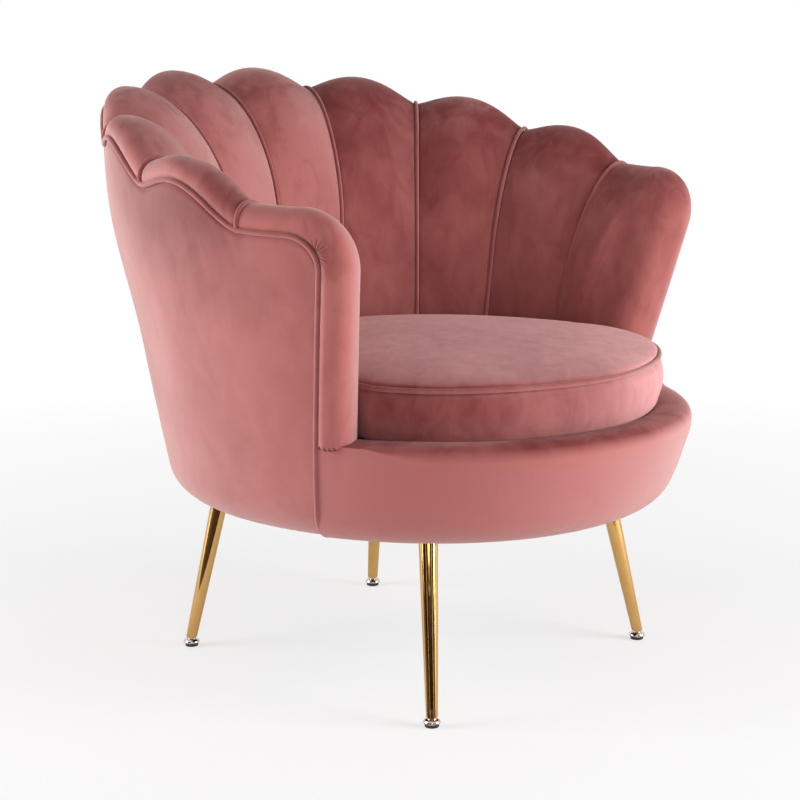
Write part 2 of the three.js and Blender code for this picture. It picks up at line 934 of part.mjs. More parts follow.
addPiece(
  "front_apron",
  pierced(
    apronForm(
      (turn) => [
        ...hemArc(0, 4, apron.bottomRadius),
        [0, (apronHem + apronTop(0, turn)) / 2],
        ...apronRounding.map((inset) => [inset, apronTop(inset, turn)]),
        [apron.crestInset + apron.sinkRun, seatHeight - looseGap],
        [apron.innerInset, seatHeight - looseGap],
        [apron.innerInset, ringTop + looseGap],
        [cover.thickness, ringTop + looseGap],
        [cover.thickness, (apronHem + ringTop) / 2],
        ...hemArc(cover.thickness, 4, apron.bottomRadius).reverse(),
      ],
      seatGap,
    ),
    studHole,
  ),
  velvet,
);

// The plywood frame

// The board's lower edge is rounded over like the tub that it stiffens.
const boardRows = (() => {
  const radius = tub.bottomRadius - cover.thickness - frame.boardEase;
  const centre = boardBottom + radius;
  const rise = Math.acos((centre - boardTop) / radius);
  const edge = steps(3).map((share) => [
    tub.bottomRadius - radius * Math.sin(share * rise),
    centre - radius * Math.cos(share * rise),
  ]);
  return edge;
})();

addPiece(
  "base_board",
  pierced(
    disc(boardRows, (angle, inset, height) => tubPoint(angle, height, inset), planSteps),
    teeNut.barrelRadius + seatGap,
  ),
  plywood,
);

// A closed ring of rectangular section that follows the tub's plan.
function planRing(outerInset, innerInset, bottom, top, count) {
  const outline = [
    [outerInset, bottom],
    [outerInset, top],
    [innerInset, top],
    [innerInset, bottom],
  ];
  const rings = steps(count)
    .slice(1)
    .map((share) => wallRing(outline, () => share * 2 * Math.PI));
  return loft(rings, true);
}

addPiece(
  "base_drum",
  planRing(
    frame.drumInset,
    frame.drumInset + frame.drumThickness,
    boardTop + seatGap,
    ringBottom - seatGap,
    planSteps,
  ),
  plywood,
);
addPiece(
  "seat_ring",
  planRing(
    frameOuter,
    frame.ringInnerInset,
    ringBottom,
    ringTop,
    48,
  ),
  plywood,
);

const railBottom = (angle) =>
  valleyHeight(Math.min(Math.abs(angle), lastSeam)) - frame.railHeight;

addPiece(
  "top_rail",
  loft(
    wholeRim.map((station) =>
      hangingRing(station, frame.railProud, (top) => {
        const inner = frameOuter + frame.railDepth;
        const bottom = railBottom(rimPlace(station).angle);
        return [
          [frameOuter, bottom],
          [frameOuter, top],
          [inner, top],
          [inner, bottom],
        ];
      }),
    ),
  ),
  plywood,
);

// An upright of even width between two heights of the frame.
function upright(angleAt, width, top) {
  const bottom = ringTop + seatGap;
  const rings = steps(4).map((share) => {
    const height = lerp(bottom, top, share);
    const half = wallTurn(width / 2, angleAt(height), height, frameOuter);
    const inner = liningInset(height) - looseGap;
    const corners = [
      [-half, frameOuter],
      [half, frameOuter],
      [half, inner],
      [-half, inner],
    ];
    return {
      points: corners.map(([turn, inset]) =>
        tubPoint(angleAt(height) + turn, height, inset),
      ),
      flat: corners.map(([turn, inset]) =>
        flatPoint(turn * halfWidthAt(height), -inset),
      ),
    };
  });
  return loft(rings);
}

frame.ribSeams.forEach((seam, i) => {
  const angle = seam * channels.seamStep;
  const top = railBottom(angle) - frame.ribRelief - seatGap;
  addPiece(
    `back_rib_${i + 1}`,
    upright(() => angle, frame.ribThickness, top),
    plywood,
  );
});

for (const [name, side] of [["right", -1], ["left", 1]]) {
  const inwards = frame.postWidth / 2 - frame.railProud;
  const angleAt = (height) => side * (armEnd(height) - armTurn(inwards, height));
  const top = railBottom(side * lastSeam) - seatGap;
  addPiece(`arm_post_${name}`, upright(angleAt, frame.postWidth, top), plywood);
}

addPiece(
  "back_lining",
  loft(
    wholeRim.map((station) =>
      hangingRing(station, -looseGap, (top) => {
        const outer = steps(3).map((rise) => {
          const height = lerp(ringTop + seatGap, top, rise);
          return [liningInset(height), height];
        });
        const inner = outer
          .map(([inset, height]) => [inset + frame.liningThickness, height])
          .reverse();
        return [...outer, ...inner];
      }),
    ),
  ),
  plywood,
);

// The webbed seat and its deck pad

// Half of the length of a straight line across the tub's plan.
function halfSpan(offset, alongX) {
  const height = ringTop;
  const inset = webbing.endInset;
  const side = halfWidthAt(height) - inset;
  if (alongX) {
    const away = offset - centreAt(height);
    const reach = (away < 0 ? frontReachAt(height) : backReachAt(height)) - inset;
    const half = side * Math.sqrt(1 - (away / reach) ** 2);
    return [-half, half];
  }
  const share = Math.sqrt(1 - (offset / side) ** 2);
  return [
    centreAt(height) - (frontReachAt(height) - inset) * share,
    centreAt(height) + (backReachAt(height) - inset) * share,
  ];
}

function strap(offset, alongX, overFirst) {
  const low = ringTop + seatGap;
  const half = webbing.spacing / 2;
  const middle = alongX ? 0 : centreAt(ringTop);
  const corner = webbing.width / Math.SQRT2;
  const outerEdge = offset + Math.sign(offset - (alongX ? centreAt(low) : 0)) * corner;
  const [from, to] = halfSpan(outerEdge, alongX);
  const flatRun = webbing.width / 2 + webbing.lift;
  const slope = (half - flatRun) / 2;
  const crossings = [middle - half, middle + half];
  const stations = [[from, 0]];
  crossings.forEach((at, i) => {
    const lift = (i === 0) === overFirst ? webbing.lift : 0;
    stations.push([at - flatRun - slope / 2, 0]);
    stations.push([at - flatRun, lift], [at + flatRun, lift]);
    stations.push([at + flatRun + slope / 2, 0]);
  });
  stations.push([to, 0]);
  const rings = stations.map(([along, lift]) => {
    const bottom = low + lift;
    const corners = [
      [-webbing.width / 2, bottom],
      [webbing.width / 2, bottom],
      [webbing.width / 2, bottom + webbing.thickness],
      [-webbing.width / 2, bottom + webbing.thickness],
    ];
    return {
      points: corners.map(([across, height]) =>
        alongX
          ? new THREE.Vector3(along, offset + across, height)
          : new THREE.Vector3(offset + across, along, height),
      ),
      flat: corners.map(([across, height]) => flatPoint(across, height)),
    };
  });
  return loft(rings);
}

const webCentre = centreAt(ringTop);
[-1, 1].forEach((side, i) => {
  const offset = (side * webbing.spacing) / 2;
  addPiece(`web_strap_long_${i + 1}`, strap(offset, false, i === 0), elastic);
  addPiece(`web_strap_cross_${i + 1}`, strap(webCentre + offset, true, i === 1), elastic);
});

const deckBottom =
  ringTop + 2 * seatGap + webbing.lift + webbing.thickness;
addPiece(
  "deck_pad",
  disc(
    [
      [0, deckBottom],
      [0, seatHeight - seatGap],
    ],
    (angle, inset, height) => {
      const turn = Math.abs(Math.atan2(Math.sin(angle), Math.cos(angle)));
      const edge = turn < deckPad.backTurn ? deckPad.backInset : deckPad.frontInset;
      return tubPoint(angle, ringTop, edge + inset).setZ(height);
    },
    planSteps,
  ),
  foam,
);

// The loose seat cushion: a crowned round form with a piped top edge

const cushionBottom = seatHeight;
const cushionEdge = cushionBottom + cushion.height;

// A point of the cushion's plan. In front it is a wide round lobe; further back
// the channels at both sides and behind draw it in. The share leads inwards from
// the edge to the middle of the cushion.
function cushionPoint(angle, inset, height, share = 0) {
  const front = Math.cos(angle) < 0;
  const round = front ? 2 / cushion.frontRoundShare : 1;
  const part = (value) => Math.sign(value) * Math.abs(value) ** round;
  const reach = front ? cushion.frontReach : cushion.backReach;
  const plan = new THREE.Vector2(
    cushion.lobeHalfWidth * part(Math.sin(angle)),
    reach * part(Math.cos(angle)),
  );
  plan.multiplyScalar(1 - inset / plan.length());
  plan.y += cushion.lobeCentre;
  const centre = centreAt(height);
  const behind = plan.y - centre;
  const turn = Math.atan2(plan.x, behind);
  const wall =
    channelDepth(turn, height) +
    channels.crown +
    cushion.sideGap +
    Math.max(inset, 0);
  const back = (behind > 0 ? backReachAt(height) : frontReachAt(height)) - wall;
  const filled = Math.hypot(
    plan.x / (halfWidthAt(height) - wall),
    behind / back,
  );
  const held = THREE.MathUtils.smoothstep(
    cushionFree + cushion.freeTurn - Math.abs(turn),
    0,
    cushion.freeTurn,
  );
  const inside = lerp(1, Math.max(filled, 1), held);
  const x = plan.x / inside;
  const y = centre + behind / inside;
  return new THREE.Vector3(
    x * (1 - share),
    lerp(y, cushion.lobeCentre + cushion.middle, share),
    height,
  );
}

// Past this angle the front rolls of the arms no longer hold the cushion in.
const cushionFree = armEnd(cushionEdge);
const groove = cords.cushionPipingRadius + 2 * looseGap;
const cushionTop = cushionEdge + groove / 2 + cushion.topCrown;
const cushionRows = [
  ...quarterArc(3).map(([cosine, sine]) => [
    cushion.bottomRadius * (1 - sine),
    cushionBottom + cushion.bottomRadius * (1 - cosine),
  ]),
  ...steps(4)
    .slice(1, -1)
    .map((share) => [
      -cushion.sideCrown * Math.sin(share * Math.PI),
      lerp(cushionBottom + cushion.bottomRadius, cushionEdge - groove, share),
    ]),
  [groove / 2, cushionEdge - groove],
  [groove, cushionEdge - groove / 2],
  ...quarterArc(4)
    .slice(0, -1)
    .map(([cosine, sine]) => [
      groove,
      lerp(cushionEdge + groove / 2, cushionTop, sine),
      1 - cosine,
    ]),
];

addPiece("seat_cushion", disc(cushionRows, cushionPoint, cushionSteps), velvet);
addPiece(
  "cushion_piping",
  tube(
    steps(48)
      .slice(1)
      .map((share) => cushionPoint(share * 2 * Math.PI, 0, cushionEdge)),
    cords.cushionPipingRadius,
    cushionPipingSteps,
    6,
    true,
  ),
  velvetPiping,
);

// The dust cover under the base

addPiece(
  "dust_cover",
  planBoard(
    dustCover.inset,
    tub.underside,
    tub.underside - seatGap - dustCover.thickness,
    dustCover.thickness,
    planSteps,
  ),
  blackCloth,
);

// Legs, tee nuts and levelling feet

// A round bar or tube that leans from the origin to the lean at a height.
function leaningCone(lowRadius, highRadius, lean, from, to) {
  const length = to - from;
  const cone = new THREE.CylinderGeometry(highRadius, lowRadius, length, 20);
  cone.rotateX(Math.PI / 2).translate(0, 0, length / 2 + from);
  const shear = new THREE.Matrix4().set(
    1, 0, lean[0] / (legTop - legs.footEnd), 0,
    0, 1, lean[1] / (legTop - legs.footEnd), 0,
    0, 0, 1, 0,
    0, 0, 0, 1,
  );
  return cone.applyMatrix4(shear);
}

const legRadius = (height) =>
  lerp(
    legs.bottomRadius,
    legs.topRadius,
    (height - legs.footEnd) / (legTop - legs.footEnd),
  );

function legGeometry({ lean }) {
  const atFoot = new THREE.Matrix4().makeTranslation(
    (-lean[0] * legs.footEnd) / (legTop - legs.footEnd),
    (-lean[1] * legs.footEnd) / (legTop - legs.footEnd),
    0,
  );
  const shell = leaningCone(
    legRadius(legs.footEnd),
    legRadius(legTop),
    lean,
    legs.footEnd,
    legTop,
  ).applyMatrix4(atFoot);
  const hollowFrom = legs.footEnd + legs.plugLength;
  const hollowTo = legTop - legs.capThickness;
  const hollow = leaningCone(
    legRadius(hollowFrom) - legs.wall,
    legRadius(hollowTo) - legs.wall,
    lean,
    hollowFrom,
    hollowTo,
  ).applyMatrix4(atFoot);
  const boreRadius = glide.stemRadius + glide.boreClearance;
  const boreTop = hollowFrom + cutOverrun;
  const boreFrom = legs.footEnd - cutOverrun;
  const bore = new THREE.CylinderGeometry(
    boreRadius,
    boreRadius,
    boreTop - boreFrom,
    16,
  );
  bore.rotateX(Math.PI / 2).translate(0, 0, (boreTop + boreFrom) / 2);
  const bolt = new THREE.CylinderGeometry(
    stud.radius,
    stud.radius,
    stud.length + legs.capThickness / 2,
    12,
  );
  bolt
    .rotateX(Math.PI / 2)
    .translate(
      lean[0],
      lean[1],
      legTop + (stud.length - legs.capThickness / 2) / 2,
    );
  const solid = toSolid(shell)
    .subtract(toSolid(hollow))
    .subtract(toSolid(bore))
    .add(toSolid(bolt));
  return toGeometry(solid);
}

function latheRing(outline, sides) {
  const closedOutline = [...outline, outline[0]].map(([x, y]) => flatPoint(x, y));
  const geometry = new THREE.LatheGeometry(closedOutline, sides);
  return cleaned(geometry.rotateX(Math.PI / 2));
}

function teeNutGeometry() {
  const bore = stud.radius + stud.clearance;
  const flangeBottom = boardTop + seatGap;
  const outline = [
    [bore, boardBottom + teeNut.barrelRecess],
    [teeNut.barrelRadius, boardBottom + teeNut.barrelRecess],
    [teeNut.barrelRadius, flangeBottom],
    [teeNut.flangeRadius, flangeBottom],
    [teeNut.flangeRadius, flangeBottom + teeNut.flangeThickness],
    [bore, flangeBottom + teeNut.flangeThickness],
  ];
  return latheRing(outline, 16);
}

// The outline runs up the axis side last, so the lathe closes on the axis.
function latheSolid(outline, sides) {
  const geometry = new THREE.LatheGeometry(
    outline.map(([x, y]) => flatPoint(x, y)),
    sides,
  );
  return cleaned(geometry.rotateX(Math.PI / 2));
}

function glideGeometry() {
  const underside = pad.thickness + seatGap;
  const domeTop = glide.neckHeight;
  const dome = quarterArc(3).map(([cosine, sine]) => [
    lerp(glide.neckRadius, glide.rimRadius, cosine),
    lerp(glide.rimHeight, domeTop, sine),
  ]);
  const outline = [
    [0, underside],
    [pad.radius, underside],
    ...dome,
    [glide.neckRadius, legs.footEnd - seatGap],
    [glide.stemRadius, legs.footEnd - seatGap],
    [glide.stemRadius, legs.footEnd + glide.stemLength],
    [0, legs.footEnd + glide.stemLength],
  ];
  return latheSolid(outline, 18);
}

function padGeometry() {
  const outline = [
    [0, 0],
    [pad.radius - pad.edge, 0],
    [pad.radius, pad.edge],
    [pad.radius, pad.thickness],
    [0, pad.thickness],
  ];
  return latheSolid(outline, 18);
}

for (const spot of footSpots) {
  const [x, y] = spot.base;
  addPiece(`leg_${spot.name}`, legGeometry(spot), brass).position.set(x, y, 0);
  addPiece(`foot_glide_${spot.name}`, glideGeometry(), nickel).position.set(x, y, 0);
  addPiece(`foot_pad_${spot.name}`, padGeometry(), blackPlastic).position.set(x, y, 0);
  const [topX, topY] = spot.top;
  addPiece(`tee_nut_${spot.name}`, teeNutGeometry(), steel).position.set(topX, topY, 0);
}

// The origin lies on the floor under the middle of the chair's depth.

const extent = new THREE.Box3().setFromObject(chair, true);
chair.position.y = -(extent.min.y + extent.max.y) / 2;

export default chair;
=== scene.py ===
from math import acos, atan2, copysign, cos, exp, hypot, pi, radians, sin, sqrt

import bmesh
import bpy
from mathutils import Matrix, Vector, noise


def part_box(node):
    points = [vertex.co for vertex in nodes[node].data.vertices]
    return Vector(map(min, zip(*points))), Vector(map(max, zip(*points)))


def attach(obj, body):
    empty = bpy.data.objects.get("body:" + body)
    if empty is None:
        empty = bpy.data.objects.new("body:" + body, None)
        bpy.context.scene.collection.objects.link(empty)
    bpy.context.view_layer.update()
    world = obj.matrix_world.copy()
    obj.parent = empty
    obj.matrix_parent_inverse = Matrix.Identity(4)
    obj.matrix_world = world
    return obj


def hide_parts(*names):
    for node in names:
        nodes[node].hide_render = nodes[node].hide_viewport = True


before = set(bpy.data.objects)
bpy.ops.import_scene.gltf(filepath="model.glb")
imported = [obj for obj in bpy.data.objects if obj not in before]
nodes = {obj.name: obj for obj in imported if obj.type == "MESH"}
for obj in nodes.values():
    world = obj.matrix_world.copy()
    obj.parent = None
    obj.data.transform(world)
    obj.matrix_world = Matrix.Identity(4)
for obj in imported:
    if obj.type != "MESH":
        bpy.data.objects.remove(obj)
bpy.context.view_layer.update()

scene = bpy.context.scene

# The view and the floor: a chair on a pale floor in front of white, seen from its
# right front, a little above the seat. The camera sees only a weak shadow on the floor.

AIM = Vector((0.0, 0.01528, 0.3675))
VIEW_TURN, VIEW_TILT, VIEW_DISTANCE = radians(-50.124), radians(10.516), 2.694
SENSOR_WIDTH, FOCAL_LENGTH, LENS_SHIFT = 36.0, 90.97, (0.0021, -0.0276)

lens = bpy.data.cameras.new("photo_lens")
lens.sensor_width, lens.lens = SENSOR_WIDTH, FOCAL_LENGTH
lens.shift_x, lens.shift_y = LENS_SHIFT
camera = bpy.data.objects.new("photo_camera", lens)
scene.collection.objects.link(camera)
scene.camera = camera
back = Vector((
    sin(VIEW_TURN) * cos(VIEW_TILT),
    -cos(VIEW_TURN) * cos(VIEW_TILT),
    sin(VIEW_TILT),
))
camera.location = AIM + VIEW_DISTANCE * back
camera.rotation_mode = "QUATERNION"
camera.rotation_quaternion = (-back).to_track_quat("-Z", "Y")
scene.view_settings.view_transform = "Standard"

GENERATED, NORMAL, OBJECT = 0, 1, 3   # outputs of a Texture Coordinate node
CAMERA_RAY, GLOSSY_RAY, TRANSMITTED_RAY = 0, 3, 6   # outputs of a Light Path node


class Link:
    """A shader socket in an expression. Arithmetic on it adds Math nodes."""

    def __init__(self, tree, socket):
        self.tree, self.socket = tree, socket

    def math(self, operation, *others):
        values = dict(enumerate((self, *others)))
        return self.tree.node("ShaderNodeMath", {"operation": operation}, values)[0]

    def __add__(self, other):
        return self.math("ADD", other)

    def __sub__(self, other):
        return self.math("SUBTRACT", other)

    def __rsub__(self, other):
        return self * -1 + other

    def __mul__(self, other):
        return self.math("MULTIPLY", other)

    def __pow__(self, other):
        return self.math("POWER", other)

    __radd__, __rmul__ = __add__, __mul__

    def between(self, low, high):
        """0 at low and 1 at high, held within those."""
        values = {0: self, 1: low, 2: high}
        return self.tree.node("ShaderNodeMapRange", {"clamp": True}, values)[0]

    def split(self):
        """The three parts of a vector."""
        return self.tree.node("ShaderNodeSeparateXYZ", None, {0: self})


class Tree:
    """The nodes of a material or a world. node() adds one and gives its outputs."""

    def __init__(self, owner):
        owner.use_nodes = True
        self.tree = owner.node_tree

    def feed(self, socket, value):
        value = value.socket if isinstance(value, Link) else value
        if isinstance(value, bpy.types.NodeSocket):
            self.tree.links.new(value, socket)
        elif isinstance(value, tuple) and len(value) == 3 and socket.type == "RGBA":
            socket.default_value = (*value, 1.0)
        else:
            socket.default_value = value

    def node(self, kind, settings=None, inputs=None):
        node = self.tree.nodes.new(kind)
        for key, value in (settings or {}).items():
            setattr(node, key, value)
        for key, value in (inputs or {}).items():
            self.feed(node.inputs[key], value)
        return [Link(self, socket) for socket in node.outputs]

    def coordinates(self, kind):
        return self.node("ShaderNodeTexCoord")[kind]


class Finish(Tree):
    """A material with a Principled shader."""

    def __init__(self, name, **shader):
        self.material = bpy.data.materials.new(name)
        super().__init__(self.material)
        self.shader = self.tree.nodes["Principled BSDF"]
        self.set(**shader)

    def set(self, **shader):
        """Feeds the shader's sockets: base_color goes to Base Color, and so on."""
        for key, value in shader.items():
            title = key.replace("_", " ").title().replace("Ior", "IOR")
            self.feed(self.shader.inputs[title], value)

    def noise(self, scale, detail=2.0, stretch=(1.0, 1.0, 1.0), distortion=0.0):
        inputs = {"Vector": self.coordinates(OBJECT), "Scale": stretch}
        spot = self.node("ShaderNodeMapping", None, inputs)[0]
        inputs = {"Vector": spot, "Scale": scale, "Detail": detail}
        inputs["Distortion"] = distortion
        return self.node("ShaderNodeTexNoise", None, inputs)[0]

    def blend(self, share, low, high):
        """Between two colours."""
        inputs = {0: share, 6: low, 7: high}
        return self.node("ShaderNodeMix", {"data_type": "RGBA"}, inputs)[2]

    def bump(self, height, distance, strength):
        inputs = {"Height": height, "Distance": distance, "Strength": strength}
        return self.node("ShaderNodeBump", None, inputs)[0]


def object_from(mesh, name):
    """An object in the scene from a bmesh, which is freed."""
    data = bpy.data.meshes.new(name)
    mesh.to_mesh(data)
    mesh.free()
    made = bpy.data.objects.new(name, data)
    scene.collection.objects.link(made)
    return made


FLOOR_RADIUS, FLOOR_SINK, FLOOR_SIDES = 9.0, 0.0005, 96
SHADOW_FULL, SHADOW_NONE = 0.5, 1.9   # metres from the middle of the chair
SHADOW_PALENESS = 0.64   # how much of the floor's own white shows in full shadow
PALE, WHITE = (0.9, 0.9, 0.9), (1.0, 1.0, 1.0)

mesh = bmesh.new()
bmesh.ops.create_circle(mesh, cap_ends=True, segments=FLOOR_SIDES, radius=FLOOR_RADIUS)
floor = object_from(mesh, "studio_floor")
floor.location.z = -FLOOR_SINK
paper = Finish("pale_floor", base_color=PALE, roughness=0.9, specular_ior_level=0.1)
rays = paper.node("ShaderNodeLightPath")
spot = paper.coordinates(OBJECT)
away = paper.node("ShaderNodeVectorMath", {"operation": "LENGTH"}, {0: spot})[1]
fade = (1 - SHADOW_PALENESS) * away.between(SHADOW_FULL, SHADOW_NONE)
lit = rays[CAMERA_RAY] * (SHADOW_PALENESS + fade)
white = paper.node("ShaderNodeEmission", None, {"Color": WHITE})[0]
mixed = {0: lit, 1: Link(paper, paper.shader.outputs[0]), 2: white}
paper.feed(
    paper.tree.nodes["Material Output"].inputs["Surface"],
    paper.node("ShaderNodeMixShader", None, mixed)[0],
)
floor.data.materials.append(paper.material)

# The light of the room: full white for the camera and in whatever mirrors it. For all
# that it lights, the walls are brighter than the ceiling.

ROOM_LEVEL, CEILING_LEVEL = 0.62, 0.22
WALL_FROM, WALL_TO = 0.1, 0.8   # the rise of a direction, where the light changes
world = bpy.data.worlds.new("studio")
scene.world = world
sky = Tree(world)
rays = sky.node("ShaderNodeLightPath")
mirrored = rays[GLOSSY_RAY].math("MAXIMUM", rays[TRANSMITTED_RAY])
seen = rays[CAMERA_RAY].math("MAXIMUM", mirrored)
rise = sky.coordinates(GENERATED).split()[2]
walls = sky.node(
    "ShaderNodeMapRange",
    {"interpolation_type": "SMOOTHSTEP"},
    {0: rise, 1: WALL_FROM, 2: WALL_TO, 3: ROOM_LEVEL, 4: CEILING_LEVEL},
)[0]
level = sky.node("ShaderNodeMapRange", None, {0: seen, 3: walls, 4: 1.0})[0]
backdrop = sky.tree.nodes["Background"].inputs
sky.feed(backdrop["Color"], WHITE)
sky.feed(backdrop["Strength"], level)

# The lamps: two large soft boxes stand low at the chair's sides and a weaker one behind
# the camera, so the crests stay deeper than the sides.

SIDEWAYS = Vector((cos(VIEW_TURN), sin(VIEW_TURN), 0.0))
LAMP_AIM = Vector((0.0, 0.0, 0.45))


def lamp(name, right, near, up, width, height, power):
    """A soft box that faces the seat, so far right of, near and above the chair."""
    light = bpy.data.lights.new(name, "AREA")
    light.shape = "RECTANGLE"
    light.size, light.size_y, light.energy = width, height, power
    box = bpy.data.objects.new(name, light)
    towards = Vector((back.x, back.y, 0.0)).normalized()
    box.location = right * SIDEWAYS + near * towards + Vector((0.0, 0.0, up))
    aim = LAMP_AIM - box.location
    box.rotation_euler = aim.to_track_quat("-Z", "Y").to_euler()
    scene.collection.objects.link(box)


lamp("right_softbox", right=2.6, near=0.9, up=1.1, width=1.4, height=1.8, power=80.0)
lamp("left_softbox", right=-2.6, near=0.5, up=1.0, width=1.4, height=1.8, power=62.0)
lamp("front_softbox", right=0.2, near=3.6, up=1.2, width=1.4, height=1.0, power=16.0)

# Dark cards on the floor in front of the chair and upright behind the camera, with two
# narrow gaps. Only polished metal sees them: they give the legs their dark stripes.

CARD_CENTRE, CARD_STEPS = Vector((-0.224, -0.2247, 0.0)), 12
CARD_PROFILE = ((0.02, 0.002), (3.7, 0.002), (3.7, 3.4))   # reach and height
CARD_SPANS = ((-92, -33), (-29, 34), (40, 66))   # degrees to the right of the camera
camera_turn = atan2(back.y, back.x)
dark_card = Finish("dark_card", base_color=(0.03, 0.012, 0.007), roughness=1.0)
for number, (start, end) in enumerate(CARD_SPANS, 1):
    mesh = bmesh.new()
    arcs = []
    for reach, height in CARD_PROFILE:
        arc = []
        for k in range(CARD_STEPS + 1):
            turn = camera_turn + radians(start + (end - start) * k / CARD_STEPS)
            out = Vector((cos(turn), sin(turn), 0.0)) * reach
            arc.append(mesh.verts.new(CARD_CENTRE + out + Vector((0.0, 0.0, height))))
        arcs.append(arc)
    for low, high in zip(arcs, arcs[1:]):
        for k in range(CARD_STEPS):
            mesh.faces.new((low[k], low[k + 1], high[k + 1], high[k]))
    flag = object_from(mesh, f"dark_card_{number}")
    flag.data.materials.append(dark_card.material)
    flag.visible_camera = flag.visible_diffuse = flag.visible_shadow = False

# The tub: one piece of velvet over thin wadding, pulled round the back and both arms
# from the piping line down to a flap that is stapled under the base. Lengths are in
# millimetres in the CAD source's own frame until point() places them.

MM = 0.001
UNDERSIDE, FLARE_HEIGHT, FLARE_SHARE = 224.0, 717.0, 0.88
HALF_WIDTH, BACK_REACH, FRONT_REACH = (307.0, 424.0), (318.0, 434.0), (333.0, 476.0)
CENTRE, BOTTOM_RADIUS, SQUARE_SHARE = (-25.0, -65.0), 39.0, 0.008
RIM_HEIGHT, RIM_FALL, RIM_EASE = 716.0, 49.0, 3.2
SCALLOP_RISE, SCALLOP_SOFT, SCALLOP_FULL = 28.0, 0.8, 0.9
CREST_SOFT, CREST_FULL = 0.28, 0.85   # the crests' own line dips more sharply
SEAM_STEP, OUTER_SEAM = radians(23.69), 4
LAST_SEAM = OUTER_SEAM * SEAM_STEP
ARM_END = (radians(106.2), radians(109.9))
ARM_CORNER, ARM_DROP, ARM_SQUARE = 44.0, 2.0, 0.65
SILL_HEIGHT = 354.0
FOOT_BEND, FOOT_BEND_RUN = radians(-0.4), 130   # of the piping's end, under the sill
COVER_FLAP, COVER_THICKNESS = 42.0, 3.2
BELLY, BELLY_FROM, BELLY_SKEW = 8.5, 430.0, 1.5
BELLY_TURN = (radians(60), radians(98))
LIP = 1.4   # from the piping's middle to the cloth that is sewn to it
RIM_ARM_STEPS, RIM_CORNER_STEPS = 8, 14
COVER_TUCK, COVER_TUCK_FROM, COVER_UNEVEN, UNEVEN_SIZE = 2.4, 0.975, 0.9, 0.16

FRONT_FOOT_Y = -240.0
pad_low, pad_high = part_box("foot_pad_front_left")
SHIFT_Y = (pad_low[1] + pad_high[1]) / 2 / MM - FRONT_FOOT_Y


def quarter(share):
    """Sine and cosine of part of a quarter turn."""
    return sin(share * pi / 2), cos(share * pi / 2)


def lerp(low, high, share):
    return low + (high - low) * share


def clamp(value, low=0.0, high=1.0):
    return min(max(value, low), high)


def smooth(value, low=0.0, high=1.0):
    share = clamp((value - low) / (high - low))
    return share * share * (3 - 2 * share)


def shares(count):
    return [i / count for i in range(count + 1)]


def spread(low, high, count):
    return [lerp(low, high, share) for share in shares(count)[1:]]


def point(x, y, z):
    return Vector((x * MM, (y + SHIFT_Y) * MM, z * MM))


def at_height(pair, height):
    rise = max((height - UNDERSIDE) / (FLARE_HEIGHT - UNDERSIDE), 0.0)
    return lerp(*pair, rise ** FLARE_SHARE)


def tub_point(angle, height, inset=0.0):
    """A point on the outside of the tub, moved inwards by the inset."""
    in_front = cos(angle) < 0
    reach = at_height(FRONT_REACH if in_front else BACK_REACH, height) - inset
    side = at_height(HALF_WIDTH, height) - inset
    fuller = 1 + SQUARE_SHARE * sin(2 * angle) ** 2 if in_front else 1.0
    centre = at_height(CENTRE, height)
    x, y = side * fuller * sin(angle), centre + reach * fuller * cos(angle)
    return point(x, y, height)


def arm_turn(length, height):
    return length / at_height(FRONT_REACH, height)


def arm_end(height):
    rise = (height - UNDERSIDE) / (FLARE_HEIGHT - UNDERSIDE)
    bent = FOOT_BEND * smooth(SILL_HEIGHT - height, 0, FOOT_BEND_RUN)
    return lerp(*ARM_END, rise) - bent


def valley_height(turn):
    return RIM_HEIGHT - RIM_FALL * turn ** 2 + RIM_EASE * turn ** 4


def scallop(across, soft=SCALLOP_SOFT, full=SCALLOP_FULL):
    wave = hypot(sin(pi * across), soft) - soft
    return (wave / (hypot(1, soft) - soft)) ** full


def scallop_height(turn):
    return valley_height(turn) + SCALLOP_RISE * scallop(turn / SEAM_STEP)


RIM_RADIUS = at_height(HALF_WIDTH, RIM_HEIGHT)


def steepness(turn):
    probe = SEAM_STEP / 12
    run = probe * RIM_RADIUS
    rise = abs(scallop_height(turn + probe) - scallop_height(turn))
    fall = abs(scallop_height(turn - probe) - scallop_height(turn))
    return hypot(1, max(rise, fall) / run)


ARM_TOP = valley_height(LAST_SEAM) - ARM_DROP
CORNER_HEIGHT = ARM_TOP - ARM_CORNER
CORNER_ANGLE = arm_end(CORNER_HEIGHT) - arm_turn(ARM_CORNER, CORNER_HEIGHT)
CORNER_STATION, FRONT_STATION = OUTER_SEAM + 1, OUTER_SEAM + 2


class Place:
    """A place on the piping line, moved outwards by an offset. Stations count the
    seams from the middle of the back, then the arm's top, its corner and its front."""

    def __init__(self, station, offset=0.0):
        self.side = -1 if station < 0 else 1
        past = abs(station) - OUTER_SEAM
        self.steep, self.up, self.round = 1.0, 1.0, 0.0
        if past <= 0:
            turn = abs(station) * SEAM_STEP
            self.steep = steepness(turn)
            self.height = scallop_height(turn) + offset * self.steep
        elif past <= 1:
            sink = sin(past * pi / 2)
            self.height = lerp(valley_height(LAST_SEAM), ARM_TOP, sink) + offset
            turn = lerp(LAST_SEAM, CORNER_ANGLE, past)
        elif past <= 2:
            radius = ARM_CORNER + offset
            self.round, self.up = quarter(past - 1)
            self.height = CORNER_HEIGHT + radius * self.up
            lean = arm_end(self.height) - arm_end(CORNER_HEIGHT)
            turn = CORNER_ANGLE + arm_turn(radius * self.round, CORNER_HEIGHT) + lean
        else:
            self.up, self.round = 0.0, 1.0
            self.height = lerp(CORNER_HEIGHT, SILL_HEIGHT, past - 2)
            turn = arm_end(self.height) + arm_turn(offset, self.height)
        self.turn, self.angle = turn, self.side * turn


